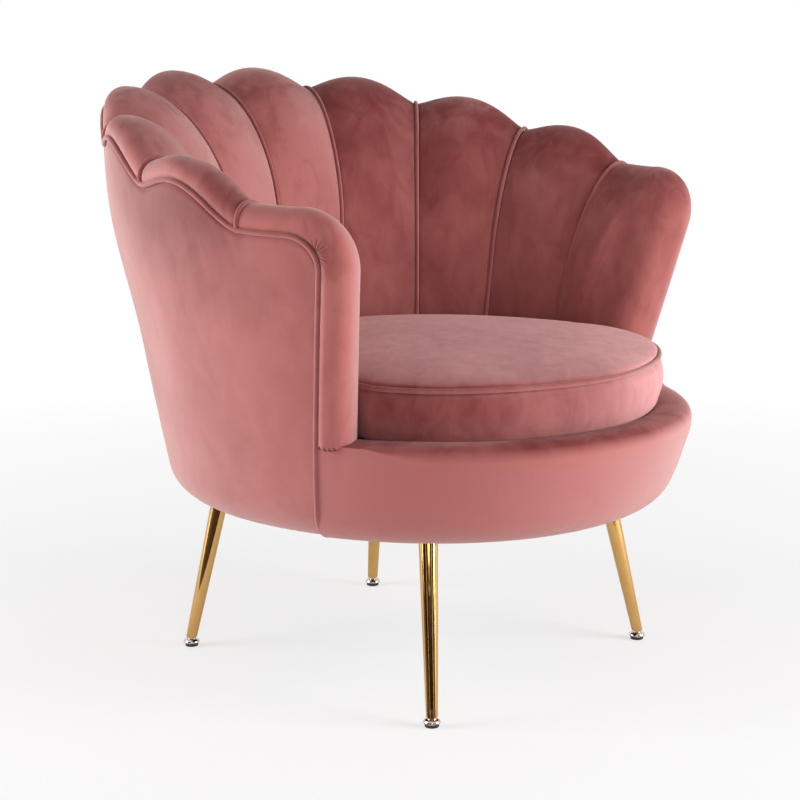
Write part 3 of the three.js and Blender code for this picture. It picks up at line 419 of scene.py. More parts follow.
def form(name, rows, closed=False, sharp=60.0):
    """A mesh through rows of points, each of which is a ring. The rows close on
    themselves too, or else the mesh is capped at both ends."""
    mesh = bmesh.new()
    grid = [[mesh.verts.new(p) for p in row] for row in rows]
    count = len(rows[0])
    for here, there in zip(grid, grid[1:] + grid[:1] if closed else grid[1:]):
        for i in range(count):
            j = (i + 1) % count
            mesh.faces.new((here[i], here[j], there[j], there[i]))
    if not closed:
        ends = [mesh.faces.new(grid[0][::-1]), mesh.faces.new(grid[-1])]
        bmesh.ops.triangulate(mesh, faces=ends, ngon_method="EAR_CLIP")
    bmesh.ops.remove_doubles(mesh, verts=mesh.verts, dist=0.00001)
    bmesh.ops.dissolve_degenerate(mesh, edges=mesh.edges, dist=0.000005)
    bmesh.ops.recalc_face_normals(mesh, faces=mesh.faces)
    made = object_from(mesh, name)
    made.data.shade_smooth()
    made.data.set_sharp_from_angle(angle=radians(sharp))
    return made


def finished(piece, finish, slot, body, *stands_for):
    """Gives a piece its material, its body and the nodes it stands for. The slot is not
    used.
    """
    piece.data.materials.append(finish.material)
    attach(piece, body)
    if stands_for:
        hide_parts(*stands_for)
    return piece


# Short pile velvet with cloudy patches of turned nap. Its colour also carries painted
# light:
# a painted sheen, pale where it is seen along the surface, and painted shade where it
# faces up.
# VELVET_DEEP is the nap's deepest tone and also the colour of the painted shade.
VELVET_DEEP, VELVET_MID = (0.165, 0.030, 0.029), (0.41, 0.130, 0.120)
VELVET_PAINTED_SHEEN, SHEEN_TINT = (0.56, 0.345, 0.33), (0.86, 0.62, 0.60)
NAP_RANGE, UP_FACING_SHADE_RANGE = (0.34, 0.68), (0.05, 0.75)
UP_SHADE_DEPTH, UP_SHADE_NAP, PAINTED_SHEEN_SHADE_CUT = 1.35, 0.7, (0.95, 1.05)
PAINTED_SHEEN_STRENGTH, PAINTED_SHEEN_NAP = 0.8, 0.3
FRONT_LIGHT_AXIS, FRONT_LIGHT_RANGE, FRONT_LIGHT_SHADE_CUT = (0.3, 0.95), (0.6, 1.0), 0.75
GATHER_SHADE_RANGE, GATHER_SHADE_UNEVEN, GATHER_SHADE_DEPTH = (0.015, 0.055), 0.02, 0.8
RIM_SHADE_CENTRE_Y, RIM_SHADE_UNEVEN, RIM_SHADE_DEPTH = 0.05, 0.1, 1.5
RIM_SHADE_ARMS, RIM_SHADE_ARMS_SHARE = (2.2, 3.2), 0.7   # square of the turn from the back
CREST_SHADE_FADING_SHARE, BASE_TONE = 0.85, 0.2
PILE_SCALE, ROUGH, ROUGH_NAP, RELIEF = 1500.0, 0.92, 0.14, (0.0006, 0.5)


def velvet_with_painted_light(
    name, cloud, crush, crest, lift, cloudy, painted_sheen_power, front=0.0, far=VELVET_PAINTED_SHEEN,
    sheen=0.3, rim_shade_run=(), drawn=None, crest_shade_fading=(),
):
    """Cloud is the scale of the patches of nap, crush the share of small ones, cloudy
    their contrast. The far colour is a painted sheen, laid on where the surface is
    seen along it and narrowed by a power. Crest is how much painted shade lies where
    it faces up, lift how pale this copy is for the light that falls on it, which is
    painted light, and front how much painted light is added where it faces the front.
    Painted shade also lies in a band between the given distances below the piping, and
    round the place where the velvet is drawn together. Over the given stretch of x the
    painted shade on the crest fades."""
    velvet = Finish(
        name,
        specular_ior_level=0.1,
        sheen_weight=sheen,
        sheen_roughness=0.45,
        sheen_tint=SHEEN_TINT,
    )
    broad = velvet.noise(cloud, 3.0, (1.0, 1.0, 0.7), 0.4)
    fine = velvet.noise(cloud * 5, 3.0, (1.0, 1.0, 0.6), 0.8)
    pile = velvet.noise(PILE_SCALE, 1.0)
    nap = (broad * (1 - crush) + fine * crush).between(*NAP_RANGE)
    across, ahead, upward = velvet.coordinates(NORMAL).split()
    # Nap tone at random, plus lift, this copy's paleness for the light that falls on it:
    # painted light.
    pale = nap * cloudy + (BASE_TONE + lift)
    # Painted shade: darker where the surface faces up, less where the nap is pale.
    painted_shade = upward.between(*UP_FACING_SHADE_RANGE) * (crest * (UP_SHADE_DEPTH - UP_SHADE_NAP * nap))
    # Painted light: paler where it faces the front, with less painted shade there.
    if front:
        turned = (across * FRONT_LIGHT_AXIS[0] - ahead * FRONT_LIGHT_AXIS[1]).between(*FRONT_LIGHT_RANGE)
        pale = pale + turned * front
        painted_shade = painted_shade * (1 - turned * FRONT_LIGHT_SHADE_CUT)
    # Painted shade round the place where the velvet is drawn together, darker towards it.
    if drawn:
        spot = {0: velvet.coordinates(OBJECT)}
        mirror = velvet.node("ShaderNodeVectorMath", {"operation": "ABSOLUTE"}, spot)[0]
        ends = {0: mirror, 1: tuple(abs(value) for value in drawn)}
        gap = velvet.node("ShaderNodeVectorMath", {"operation": "DISTANCE"}, ends)[1]
        near = 1 - (gap + GATHER_SHADE_UNEVEN * fine).between(*GATHER_SHADE_RANGE)
        pale = pale - near * GATHER_SHADE_DEPTH
    # Painted shade: a darker band below the piping, under the roll, weaker on the arms.
    if rim_shade_run:
        x, y, height = velvet.coordinates(OBJECT).split()
        turn = x.math("ARCTAN2", y + RIM_SHADE_CENTRE_Y) ** 2
        rim = (RIM_HEIGHT - RIM_FALL * turn + RIM_EASE * turn ** 2) * MM
        rim_shade_edge_noise = velvet.noise(cloud * 7, 3.0, (1.0, 1.0, 0.3), 0.3)
        below = rim - height + RIM_SHADE_UNEVEN * (rim_shade_edge_noise - 0.5)
        free = 1 - turn.between(*RIM_SHADE_ARMS) * RIM_SHADE_ARMS_SHARE
        pale = pale - (1 - below.between(*rim_shade_run)) * ((RIM_SHADE_DEPTH - 1.0 * broad) * free)
    # The painted shade on the crest fades over the given stretch of x.
    if crest_shade_fading:
        x = velvet.coordinates(OBJECT).split()[0]
        painted_shade = painted_shade * (1 - x.between(*crest_shade_fading) * CREST_SHADE_FADING_SHARE)
    # The second blend lays the painted shade over the base in the deep colour.
    base = velvet.blend(pale, VELVET_DEEP, VELVET_MID)
    base = velvet.blend(painted_shade, base, VELVET_DEEP)
    # Painted sheen: the far colour is laid into the base colour where the surface is seen
    # along it, less where painted shade lies.
    grazing = velvet.node("ShaderNodeLayerWeight", None, {"Blend": 0.5})[1]
    painted_sheen = (grazing ** painted_sheen_power) * (PAINTED_SHEEN_SHADE_CUT[0] - painted_shade * PAINTED_SHEEN_SHADE_CUT[1])
    velvet.set(
        base_color=velvet.blend(painted_sheen * (PAINTED_SHEEN_STRENGTH + PAINTED_SHEEN_NAP * nap), base, far),
        roughness=ROUGH - ROUGH_NAP * nap,
        normal=velvet.bump(pile * 0.6 + fine * 2, *RELIEF),
    )
    return velvet


# The outside's copy of the velvet, pale for the light on it, with painted shade in a band
# below the piping.
outside_velvet_painted_light = velvet_with_painted_light(
    "rose_velvet_outside_painted_light", cloud=6.0, crush=0.3, crest=0.6, lift=0.42, cloudy=0.45,
    painted_sheen_power=1.6, rim_shade_run=(-0.01, 0.14),
)
FOLD_DEPTH, FOLD_WAVES, FOLD_RUN = 0.9, 7.4, 26.0
FOLD_HALF, FOLD_SPREAD = 14.0, 0.35   # half width at the piping, and growth below it


def pucker(turn, below):
    """Small folds that fan out below each dip of the piping, where it is sewn tight."""
    seam = round(turn / SEAM_STEP)
    if seam > OUTER_SEAM:
        return 0.0
    aside = (turn - seam * SEAM_STEP) * RIM_RADIUS
    half = FOLD_HALF + FOLD_SPREAD * below
    fade = exp(-((aside / half) ** 2) - below / FOLD_RUN)
    return FOLD_DEPTH * fade * cos(aside * FOLD_WAVES / half)


def drift(spot, size, seed=0.0):
    """Slow unevenness of hand-fitted cloth, from -1 to 1."""
    return noise.noise(spot * (1 / size) + Vector((seed, seed, seed)))


def cover_belly(turn, height, top):
    rise = clamp((height - BELLY_FROM) / (top - BELLY_FROM))
    fade = smooth(BELLY_TURN[1] - turn, 0.0, BELLY_TURN[1] - BELLY_TURN[0])
    return BELLY * fade * sin(pi * rise ** BELLY_SKEW)


def hem_arc(thickness, count, rounding=BOTTOM_RADIUS):
    radius, bottom = rounding - thickness, UNDERSIDE + thickness
    arc = [quarter(share) for share in shares(count)]
    return [(BOTTOM_RADIUS + COVER_FLAP, bottom)] + [
        (rounding - radius * sine, bottom + radius * (1 - cosine)) for sine, cosine in arc
    ]


def rim_stations(per_channel):
    """Stations from the front of one arm over the back to the other's."""
    half = (
        spread(0, OUTER_SEAM, OUTER_SEAM * per_channel)
        + spread(OUTER_SEAM, CORNER_STATION, RIM_ARM_STEPS)
        + spread(CORNER_STATION, FRONT_STATION, RIM_CORNER_STEPS)
    )
    return [-s for s in reversed(half)] + [0.0] + half


def cover_outline(top, turn):
    low = UNDERSIDE + BOTTOM_RADIUS
    outer = []
    for share in spread(0, 0.95, 40) + spread(0.95, 1, 8):
        height = lerp(low, top, share)
        spot = tub_point(turn, height)
        uneven = COVER_UNEVEN * drift(spot, UNEVEN_SIZE) * sin(pi * share)
        inset = -cover_belly(turn, height, top) - uneven - pucker(turn, top - height)
        outer.append((inset + COVER_TUCK * smooth(share, COVER_TUCK_FROM, 1.0), height))
    inner = [(COVER_THICKNESS, lerp(low, top, share)) for share in shares(6)[:0:-1]]
    return hem_arc(0, 9) + outer + inner + hem_arc(COVER_THICKNESS, 9)[::-1]


def cover_row(station):
    """A section that hangs from the piping. On the arms it leans like their fronts."""
    top = Place(station, -LIP)

    def end(height):
        return arm_end(height) - arm_turn(LIP, height)

    share = (top.turn - LAST_SEAM) / (end(top.height) - LAST_SEAM)
    row = []
    for inset, height in cover_outline(top.height, top.turn):
        angle = top.angle
        if share > 0:
            angle = top.side * lerp(LAST_SEAM, end(min(height, top.height)), share)
        row.append(tub_point(angle, height, inset))
    return row


outer_cover = form("outer_cover_velvet", [cover_row(s) for s in rim_stations(18)])
finished(outer_cover, outside_velvet_painted_light, "velvet", "chair", "outer_cover")

# The stuffed channels: tubes of velvet filled with fibre, sewn to each other at the
# seams, rolled over the scalloped rail and drawn down to the seat. The outermost two
# fan round the corners of the arms and stand on the front apron.

CHANNEL_CROWN, CHANNEL_CROWN_SHARE = 7.5, 0.7
SHOULDER_DEPTH, SEAT_DEPTH, SHOULDER_HEIGHT = 134.0, 107.0, 586.0
ARM_THIN, SHOULDER_DROP = 0.26, 162.0
ROLL_HEIGHT, SEAM_ROLL_HEIGHT, CREST_INSET, ROLL_RECESS = 26.0, 30.0, 28.0, 2.0
ARM_TOP_ROLL, ARM_FRONT_ROLL, ARM_CREST_INSET, ARM_SWELL = 30.0, 39.0, 30.0, 5.5
ARM_SHOULDER, FRONT_SHOULDER, FRONT_FULLNESS, ARM_CROWN = 0.42, 0.62, 0.72, 0.6
MOST_INWARD = 2.8   # how steeply a section may leave the arm's edge for its root
SEAT_HEIGHT = 347.0
CHANNEL_FOOT = SEAT_HEIGHT + 0.5
FOAM_INSET = 60.0
SEAM_FEET = (0.0, 1.07, 2.12, 3.03, 3.95)   # where the seams meet the seat, in steps
SEAM_HALF = 0.5   # half of the line between two channels, under the welt
GROOVE_DEPTH, GROOVE_HALF, LIP_TUCK, LIP_TUCK_RUN = 3.0, 3.6, 1.4, 5.0
LIP_CROWDING, SWELL_RUN = 0.4, 12.0   # points lie closer at the lip of an arm's front


def channel_depth(angle, height):
    rise = clamp((height - CHANNEL_FOOT) / (SHOULDER_HEIGHT - CHANNEL_FOOT))
    thin = 1 - ARM_THIN * min(abs(angle) / LAST_SEAM, 1.0) ** 2
    return lerp(SEAT_DEPTH, SHOULDER_DEPTH, rise) * thin


def foot_turn(station):
    """How far round the foot of the line at a station stands."""
    seam = min(int(abs(station)), OUTER_SEAM - 1)
    steps = lerp(SEAM_FEET[seam], SEAM_FEET[seam + 1], abs(station) - seam)
    return copysign(steps * SEAM_STEP, station)


def between_slopes(share, start, end, brief=2):
    """From 0 to 1, with these slopes at the start, which may be brief, and at the end."""
    lead = start * share * (1 - share) ** brief - end * share ** 2 * (1 - share)
    return smooth(share) + lead


class Section:
    """One section of a channel, from its place on the piping down to its root."""

    def __init__(self, edge, root, crown, roll, crest, drop, front=0.0, groove=0.0):
        self.edge, self.root, self.crown, self.roll = edge, root, crown, roll - groove
        self.crest, self.drop, self.front, self.sill = crest, drop, front, None
        self.groove = groove
        turn = abs(edge.angle) - abs(root[0])
        along = max(turn * at_height(FRONT_REACH, root[1]), 1.0)
        self.reach = hypot(edge.height - root[1], along)
        self.inward = edge.round * min(self.reach / along, MOST_INWARD)

    def spot(self, out, inset):
        """(angle, height) of a point of the section's sheet."""
        edge, root = self.edge, self.root
        above, share = max(out, 0.0), clamp(-out / self.reach)
        high = edge.height + edge.up * above
        angle = edge.angle + edge.side * edge.round * arm_turn(above, high)
        start = self.sill(inset, above) if self.sill else high
        turned_in = between_slopes(share, self.inward, edge.round ** 2, 5)
        fallen = between_slopes(share, edge.up, edge.up)
        return lerp(angle, root[0], turned_in), lerp(start, root[1], fallen)

    def place(self, out, inset):
        return tub_point(*self.spot(out, inset), inset)

    def face_inset(self, out):
        bulge = CHANNEL_CROWN * self.crown - self.groove
        return channel_depth(self.edge.angle, self.spot(out, 0.0)[1]) + bulge

    def skin(self, outer=9, inner=16, face=16):
        """From the lip up over the crest, round the shoulder and down the face."""
        lip = LIP * self.edge.steep
        face_top = max(self.roll - self.drop, -self.reach)
        power = lerp(1.0, ARM_SQUARE, self.front)
        recess = lerp(ROLL_RECESS * self.crown, 0.0, self.front) + self.groove
        fullness = lerp(1.0, FRONT_FULLNESS, self.front)
        line = []
        for step in shares(outer):
            share = step ** (1 + LIP_CROWDING * self.front)
            sine, cosine = quarter(share)
            out = lerp(lip, self.roll, sine ** power)
            swell = ARM_SWELL * self.front * max(cosine, 0.0) * smooth(out, 0.0, SWELL_RUN)
            inset = lerp(self.crest, recess, max(cosine, 0.0) ** power) - swell
            inset += LIP_TUCK * (1 - smooth(out - lip, 0.0, LIP_TUCK_RUN))
            line.append((out, inset))
        for share in spread(0, 1, inner):
            sine, cosine = quarter(share)
            out = lerp(face_top, self.roll, cosine)
            inset = lerp(self.crest, self.face_inset(face_top), sine ** fullness)
            line.append((out, inset))
        return line + [
            (out, self.face_inset(out)) for out in spread(face_top, -self.reach, face)
        ]

    def row(self, outer=9):
        back = [(-self.reach * share, FOAM_INSET) for share in (1.0, 0.67, 0.33, 0.0)]
        lip = (LIP * self.edge.steep, FOAM_INSET)
        return [self.place(*at) for at in [*self.skin(outer), *back, lip]]


def crown_at(across):
    return max(sin(pi * across), 0.0) ** CHANNEL_CROWN_SHARE


def shoulder_of(edge, roll):
    return min(SHOULDER_DROP, (edge.height - CHANNEL_FOOT) * ARM_SHOULDER + roll)


def groove_at(aside):
    """Depth of the dip beside a welt, some millimetres from the seam."""
    return GROOVE_DEPTH * exp(-((aside / GROOVE_HALF) ** 2))


def channel_section(station, crown, groove=0.0):
    edge = Place(station)
    roll = lerp(SEAM_ROLL_HEIGHT, ROLL_HEIGHT, crown)
    roll += SCALLOP_RISE * (scallop(station, CREST_SOFT, CREST_FULL) - scallop(station))
    root = (foot_turn(station), CHANNEL_FOOT)
    drop = shoulder_of(edge, roll)
    return Section(edge, root, crown, roll, CREST_INSET, drop, groove=groove)


def eased(count):
    """Shares from 0 to 1 that lie closer together near both ends."""
    return [(1 - cos(pi * share)) / 2 for share in shares(count)]


def back_channel(name, seam):
    width = SEAM_STEP * RIM_RADIUS
    edge_share = SEAM_HALF / width
    rows = []
    for share in eased(32):
        across = lerp(edge_share, 1 - edge_share, share)
        groove = groove_at(min(across, 1 - across) * width)
        rows.append(channel_section(seam + across, crown_at(share), groove).row())
    return form(name, rows)


APRON_CREST, APRON_SHOULDER, APRON_ARM_DROP, APRON_FULL = 34.0, 38.0, 2.0, 2.3
APRON_ARM_TURN, APRON_BLEND_TURN = radians(8.5), radians(14)
APRON_SINK, APRON_SINK_RUN, APRON_BOTTOM_RADIUS = 7.0, 24.0, 29.0
APRON_INNER, APRON_INNER_FOOT, APRON_CROWDING = 104.0, (12.0, 322.0), 0.03
APRON_EASE, APRON_EASE_HEIGHTS = 4.0, (262.0, 335.0)


def apron_top(inset, turn=0.0):
    """Height of the apron's rounded top, some way round from an arm."""
    short = clamp(1 - inset / APRON_CREST)
    past = clamp((inset - APRON_CREST) / APRON_SINK_RUN)
    free = smooth((turn - APRON_ARM_TURN) / APRON_BLEND_TURN)
    drop = lerp(APRON_ARM_DROP, APRON_SHOULDER, free)
    rounded = 1 - max(1 - short ** APRON_FULL, 0.0) ** (1 / APRON_FULL)
    return SILL_HEIGHT - drop * rounded - APRON_SINK * (1 - sqrt(1 - past ** 2))


GATHER_STATION, GATHER_DEPTH, GATHER_FOLDS = CORNER_STATION + 0.66, 2.6, 22
GATHER_START, GATHER_FULL, GATHER_REACH = 1.0, (5.0, 6.0), 27.0
GATHER_INSET, GATHER_INSET_RUN = 8.0, 12.0


def gathers(station, out):
    """Depth of the pleats that fan out from where the velvet is drawn together."""
    along = (station - GATHER_STATION) * pi / 2 * (ARM_CORNER + out)
    far = hypot(along, out)
    fade = smooth(far, GATHER_START, GATHER_FULL[0])
    fade *= 1 - smooth(far, GATHER_FULL[1], GATHER_REACH)
    waves = 0.5 + 0.5 * cos(atan2(out, along) * GATHER_FOLDS)
    return GATHER_DEPTH * fade * waves


ROLL_END = ((1.0, 0.0), (2.2, 1.0), (2.8, 3.0))   # how far it hangs, and draws in
ROLL_OVERHANG, ROLL_SINK, ROLL_HANG_RUN = 3.5, 1.5, (-6.0, 17.0)
WELT_ROWS = (1, 2, 4, 6, 9)   # millimetres from the seam
ARM_SKIN, ARM_CORNER_ROWS = 48, 130
STITCHED_OUT = 27   # how far out the foot of a roll is sewn down
foot_edges = {}   # the edge of each roll's foot, for its stitches


def arm_channel(name, side):
    root = (foot_turn(side * OUTER_SEAM), CHANNEL_FOOT)
    half_width = at_height(HALF_WIDTH, ARM_TOP)
    first = OUTER_SEAM + SEAM_HALF / half_width
    stations = (
        [first]
        + [first + at / half_width / SEAM_STEP for at in WELT_ROWS]
        + spread(first + 0.08, CORNER_STATION, 12)
        + spread(CORNER_STATION, FRONT_STATION, ARM_CORNER_ROWS)
        + spread(FRONT_STATION, FRONT_STATION + 1, 26)
    )
    ends = [(station, 0.0, 0.0) for station in stations]
    ends[-1:] = [(stations[-1], *end) for end in ROLL_END]
    rows = []
    for station, hang, draw in ends:
        edge = Place(side * station)
        aside = (station - OUTER_SEAM) * SEAM_STEP * half_width
        groove = groove_at(aside) if station < CORNER_STATION else 0.0
        full = smooth(station, first - (CORNER_STATION - first), CORNER_STATION)
        full = clamp(2 * full - 1) ** 0.5
        roll = lerp(SEAM_ROLL_HEIGHT, lerp(ARM_TOP_ROLL, ARM_FRONT_ROLL, edge.round), full)
        crest = lerp(CREST_INSET, ARM_CREST_INSET, full)
        front = edge.round ** 2
        section = Section(edge, root, full * ARM_CROWN, roll, crest, 0.0, front, groove)
        along = FRONT_SHOULDER * section.reach + roll
        section.drop = lerp(shoulder_of(edge, roll), along, front)
        if hang:
            section.sill = lambda inset, out: (
                apron_top(max(inset, 0.0)) - ROLL_SINK
                - hang * clamp(-inset / ROLL_OVERHANG) ** 0.5 * smooth(out, *ROLL_HANG_RUN)
            )
        row = section.row(ARM_SKIN)
        middle = section.place(0.0, crest)
        for k, (out, inset) in enumerate(section.skin(ARM_SKIN)):
            fade = exp(-max(inset - GATHER_INSET, 0.0) / GATHER_INSET_RUN)
            depth = gathers(station, out) * fade + draw
            row[k] = row[k] - (row[k] - middle).normalized() * MM * depth
        rows.append(row)
    foot = zip(rows[-2], section.skin(ARM_SKIN))
    foot_edges[side] = [spot for spot, at in foot if at[0] < STITCHED_OUT]
    return form(name, rows)


# Where the velvet is drawn together at each arm's corner: the arms' velvet has painted
# shade round it.
corner = Place(GATHER_STATION)
drawn_at = tub_point(corner.angle, corner.height)
# Lit and shaded copies of one velvet: each channel's paleness, painted shade and painted
# sheen are set for the light that falls on it.
inside_velvet_painted_light = velvet_with_painted_light(
    "rose_velvet_inside_painted_light", cloud=7.0, crush=0.4, crest=0.9, lift=0.16, cloudy=0.7,
    painted_sheen_power=1.2,
)
facing_velvet_painted_light = velvet_with_painted_light(
    "rose_velvet_facing_painted_light", cloud=8.0, crush=0.45, crest=0.55, lift=0.34, cloudy=0.75,
    painted_sheen_power=1.5, front=0.25,
)
right_arm_velvet_painted_light = velvet_with_painted_light(
    "rose_velvet_right_arm_painted_light", cloud=9.0, crush=0.4, crest=0.2, lift=0.62, cloudy=0.5,
    painted_sheen_power=2.8, drawn=drawn_at,
)
left_arm_velvet_painted_light = velvet_with_painted_light(
    "rose_velvet_left_arm_painted_light", cloud=9.0, crush=0.4, crest=0.75, lift=0.3, cloudy=0.6,
    painted_sheen_power=2.2, drawn=drawn_at,
)
finishes = [right_arm_velvet_painted_light, *5 * [facing_velvet_painted_light], *3 * [inside_velvet_painted_light], left_arm_velvet_painted_light]
for number, finish in enumerate(finishes, 1):
    name, seam = f"channel_velvet_{number:02d}", number - 2 - OUTER_SEAM
    if abs(seam + 0.5) < OUTER_SEAM:
        channel = back_channel(name, seam)
    else:
        channel = arm_channel(name, -1 if seam < 0 else 1)
    finished(channel, finish, "velvet", "chair", f"channel_{number:02d}")

# The welts and the piping: cords wrapped in bias-cut velvet. A thin welt lies in each
# seam between two channels, and one long piping runs under the roll from one arm's
# foot round the back to the other's.

WELT_RADIUS, PIPING_RADIUS = 2.5, 3.0
WELT_PROUD = 0.8
# The cords' copy of the velvet, paler for the light that falls on them: painted light.
cord_velvet_painted_light = velvet_with_painted_light(
    "rose_velvet_cord_painted_light", cloud=9.0, crush=0.4, crest=0.3, lift=0.35, cloudy=0.4, painted_sheen_power=2.0
)


def around(count):
    """Angles of so many points round a circle."""
    return [2 * pi * k / count for k in range(count)]


def cord_mesh(name, line, radius, sides=12, closed=False, uneven=0.05):
    """A round cord along a line of points. Its thickness varies a little."""
    count = len(line)
    rows = []
    normal = None
    for i, here in enumerate(line):
        after = line[(i + 1) % count] if closed or i < count - 1 else here
        before = line[i - 1] if closed or i > 0 else here
        along = (after - before).normalized()
        if normal is None:
            normal = along.orthogonal().normalized()
        normal = (normal - along * normal.dot(along)).normalized()
        across = along.cross(normal)
        thick = radius * MM * (1 + uneven * drift(here, 0.02, 3.0))
        rows.append([
            here + thick * (cos(a) * normal + sin(a) * across) for a in around(sides)
        ])
    return form(name, rows, closed)


for seam in range(-OUTER_SEAM, OUTER_SEAM + 1):
    section = channel_section(seam, 0.0, -WELT_PROUD)
    line = [section.place(*at) for at in section.skin(6, 22, 26)]
    number = seam + OUTER_SEAM + 1
    welt = cord_mesh(f"channel_welt_cord_{number}", line, WELT_RADIUS)
    finished(welt, cord_velvet_painted_light, "velvet_piping", "chair", f"channel_welt_{number}")


def bottom_inset(height):
    below = clamp(UNDERSIDE + BOTTOM_RADIUS - height, 0.0, BOTTOM_RADIUS)
    return BOTTOM_RADIUS - sqrt(BOTTOM_RADIUS ** 2 - below ** 2)


rim_line = [tub_point(edge.angle, edge.height) for edge in map(Place, rim_stations(14))]
curve_start = UNDERSIDE + BOTTOM_RADIUS
down = spread(CORNER_HEIGHT, curve_start, 30) + [
    curve_start - BOTTOM_RADIUS * quarter(share)[0] for share in spread(0, 0.92, 8)
]
fronts = [
    [tub_point(side * arm_end(h), h, bottom_inset(h)) for h in down] for side in (-1, 1)
]
piping = cord_mesh(
    "outer_piping_cord", fronts[0][::-1] + rim_line + fronts[1], PIPING_RADIUS
)
finished(piping, cord_velvet_painted_light, "velvet_piping", "chair", "outer_piping")

# The front apron: velvet over foam round the front of the seat, from one arm to the
# other. It is rounded over the seat's edge and stapled under the base.

PUCKER_TURN, PUCKER_HALF, PUCKER_DEPTH, PUCKER_RUN = 0.085, 0.02, 1.6, 30.0
# The apron's copy of the velvet, pale for the light on it, with painted shade on its top
# that fades towards the left arm.
apron_velvet_painted_light = velvet_with_painted_light(
    "rose_velvet_apron_painted_light", cloud=6.0, crush=0.35, crest=0.8, lift=0.74, cloudy=0.5,
    painted_sheen_power=1.5, sheen=0.12, crest_shade_fading=(0.08, 0.24),
)


def apron_pucker(turn, height):
    """A small fold of the velvet under the foot of each arm's roll."""
    aside = (turn - PUCKER_TURN) / PUCKER_HALF
    return PUCKER_DEPTH * exp(-(aside ** 2) - (SILL_HEIGHT - height) / PUCKER_RUN)


def apron_row(share):
    def start(height):
        return arm_end(height) + arm_turn(LIP, height)

    turn = min(share, 1 - share) * 2 * (pi - start(SILL_HEIGHT))
    rise = UNDERSIDE + APRON_BOTTOM_RADIUS
    front = [(0.0, h) for h in spread(rise, apron_top(0.0, turn), 10)]
    over = [APRON_CREST * s ** 2 for s in spread(0, 1, 14)]
    inward = [APRON_CREST + APRON_SINK_RUN * quarter(s)[0] for s in spread(0, 1, 9)]
    top = [(inset, apron_top(inset, turn)) for inset in over + inward]
    inner = [(APRON_INNER, SEAT_HEIGHT), (APRON_INNER, SEAT_HEIGHT - 20), APRON_INNER_FOOT]
    outline = hem_arc(0, 8, APRON_BOTTOM_RADIUS) + front + top + inner
    outline += hem_arc(COVER_THICKNESS, 8, APRON_BOTTOM_RADIUS)[::-1]
    row = []
    for inset, height in outline:
        angle = lerp(start(height), 2 * pi - start(height), share)
        fold = apron_pucker(turn, height) if inset < APRON_CREST else 0.0
        free = smooth(turn, APRON_ARM_TURN, APRON_ARM_TURN + APRON_BLEND_TURN)
        eased_in = APRON_EASE * free * smooth(height, *APRON_EASE_HEIGHTS)
        row.append(tub_point(angle, height, inset + fold + eased_in))
    return row


apron = form(
    "front_apron_velvet",
    [apron_row(s - APRON_CROWDING * sin(2 * pi * s)) for s in shares(150)],
)
finished(apron, apron_velvet_painted_light, "velvet", "chair", "front_apron")

# The loose seat cushion: a round foam cushion with a fibre wrap, boxed in velvet, with
# a piping in its top edge. It lifts out.

LOBE_HALF_WIDTH, LOBE_CENTRE, LOBE_FRONT, LOBE_ROUND = 258.0, -172.0, 186.0, 1.75
CUSHION_BACK, CUSHION_HEIGHT, CUSHION_CROWN, CUSHION_SIDE = 356.0, 66.0, 28.0, 6.0
CUSHION_GAP, CUSHION_FREE_TURN, CUSHION_MIDDLE = 2.5, radians(8), 60.0
CUSHION_ROUNDING, CUSHION_PIPING, CUSHION_TUCK = 12.0, 3.2, 3.4
CUSHION_TUCK_FROM, CUSHION_TUCK_TO, SEAM_DROP, SEAM_RISE = 0.84, 0.12, 2.2, 3
CUSHION_EDGE = SEAT_HEIGHT + CUSHION_HEIGHT
CUSHION_TOP = CUSHION_EDGE + SEAM_RISE + CUSHION_CROWN


def power_of(value, power):
    return copysign(abs(value) ** power, value)


def cushion_point(angle, inset, height, share=0.0):
    front = cos(angle) < 0
    power = 2 / LOBE_ROUND if front else 1.0
    reach = LOBE_FRONT if front else CUSHION_BACK
    plan = Vector((
        LOBE_HALF_WIDTH * power_of(sin(angle), power),
        reach * power_of(cos(angle), power),
    ))
    plan *= 1 - inset / plan.length
    plan.y += LOBE_CENTRE
    centre = at_height(CENTRE, height)
    behind = plan.y - centre
    turn = atan2(plan.x, behind)
    wall = channel_depth(turn, height) + CHANNEL_CROWN + CUSHION_GAP + max(inset, 0.0)
    reach_there = at_height(BACK_REACH if behind > 0 else FRONT_REACH, height) - wall
    side = at_height(HALF_WIDTH, height) - wall
    filled = hypot(plan.x / side, behind / reach_there)
    free = arm_end(CUSHION_EDGE) + CUSHION_FREE_TURN
    held = smooth(free - abs(turn), 0.0, CUSHION_FREE_TURN)
    inside = lerp(1.0, max(filled, 1.0), held)
    x, y = plan.x / inside, centre + behind / inside
    return point(x * (1 - share), lerp(y, LOBE_CENTRE + CUSHION_MIDDLE, share), height)


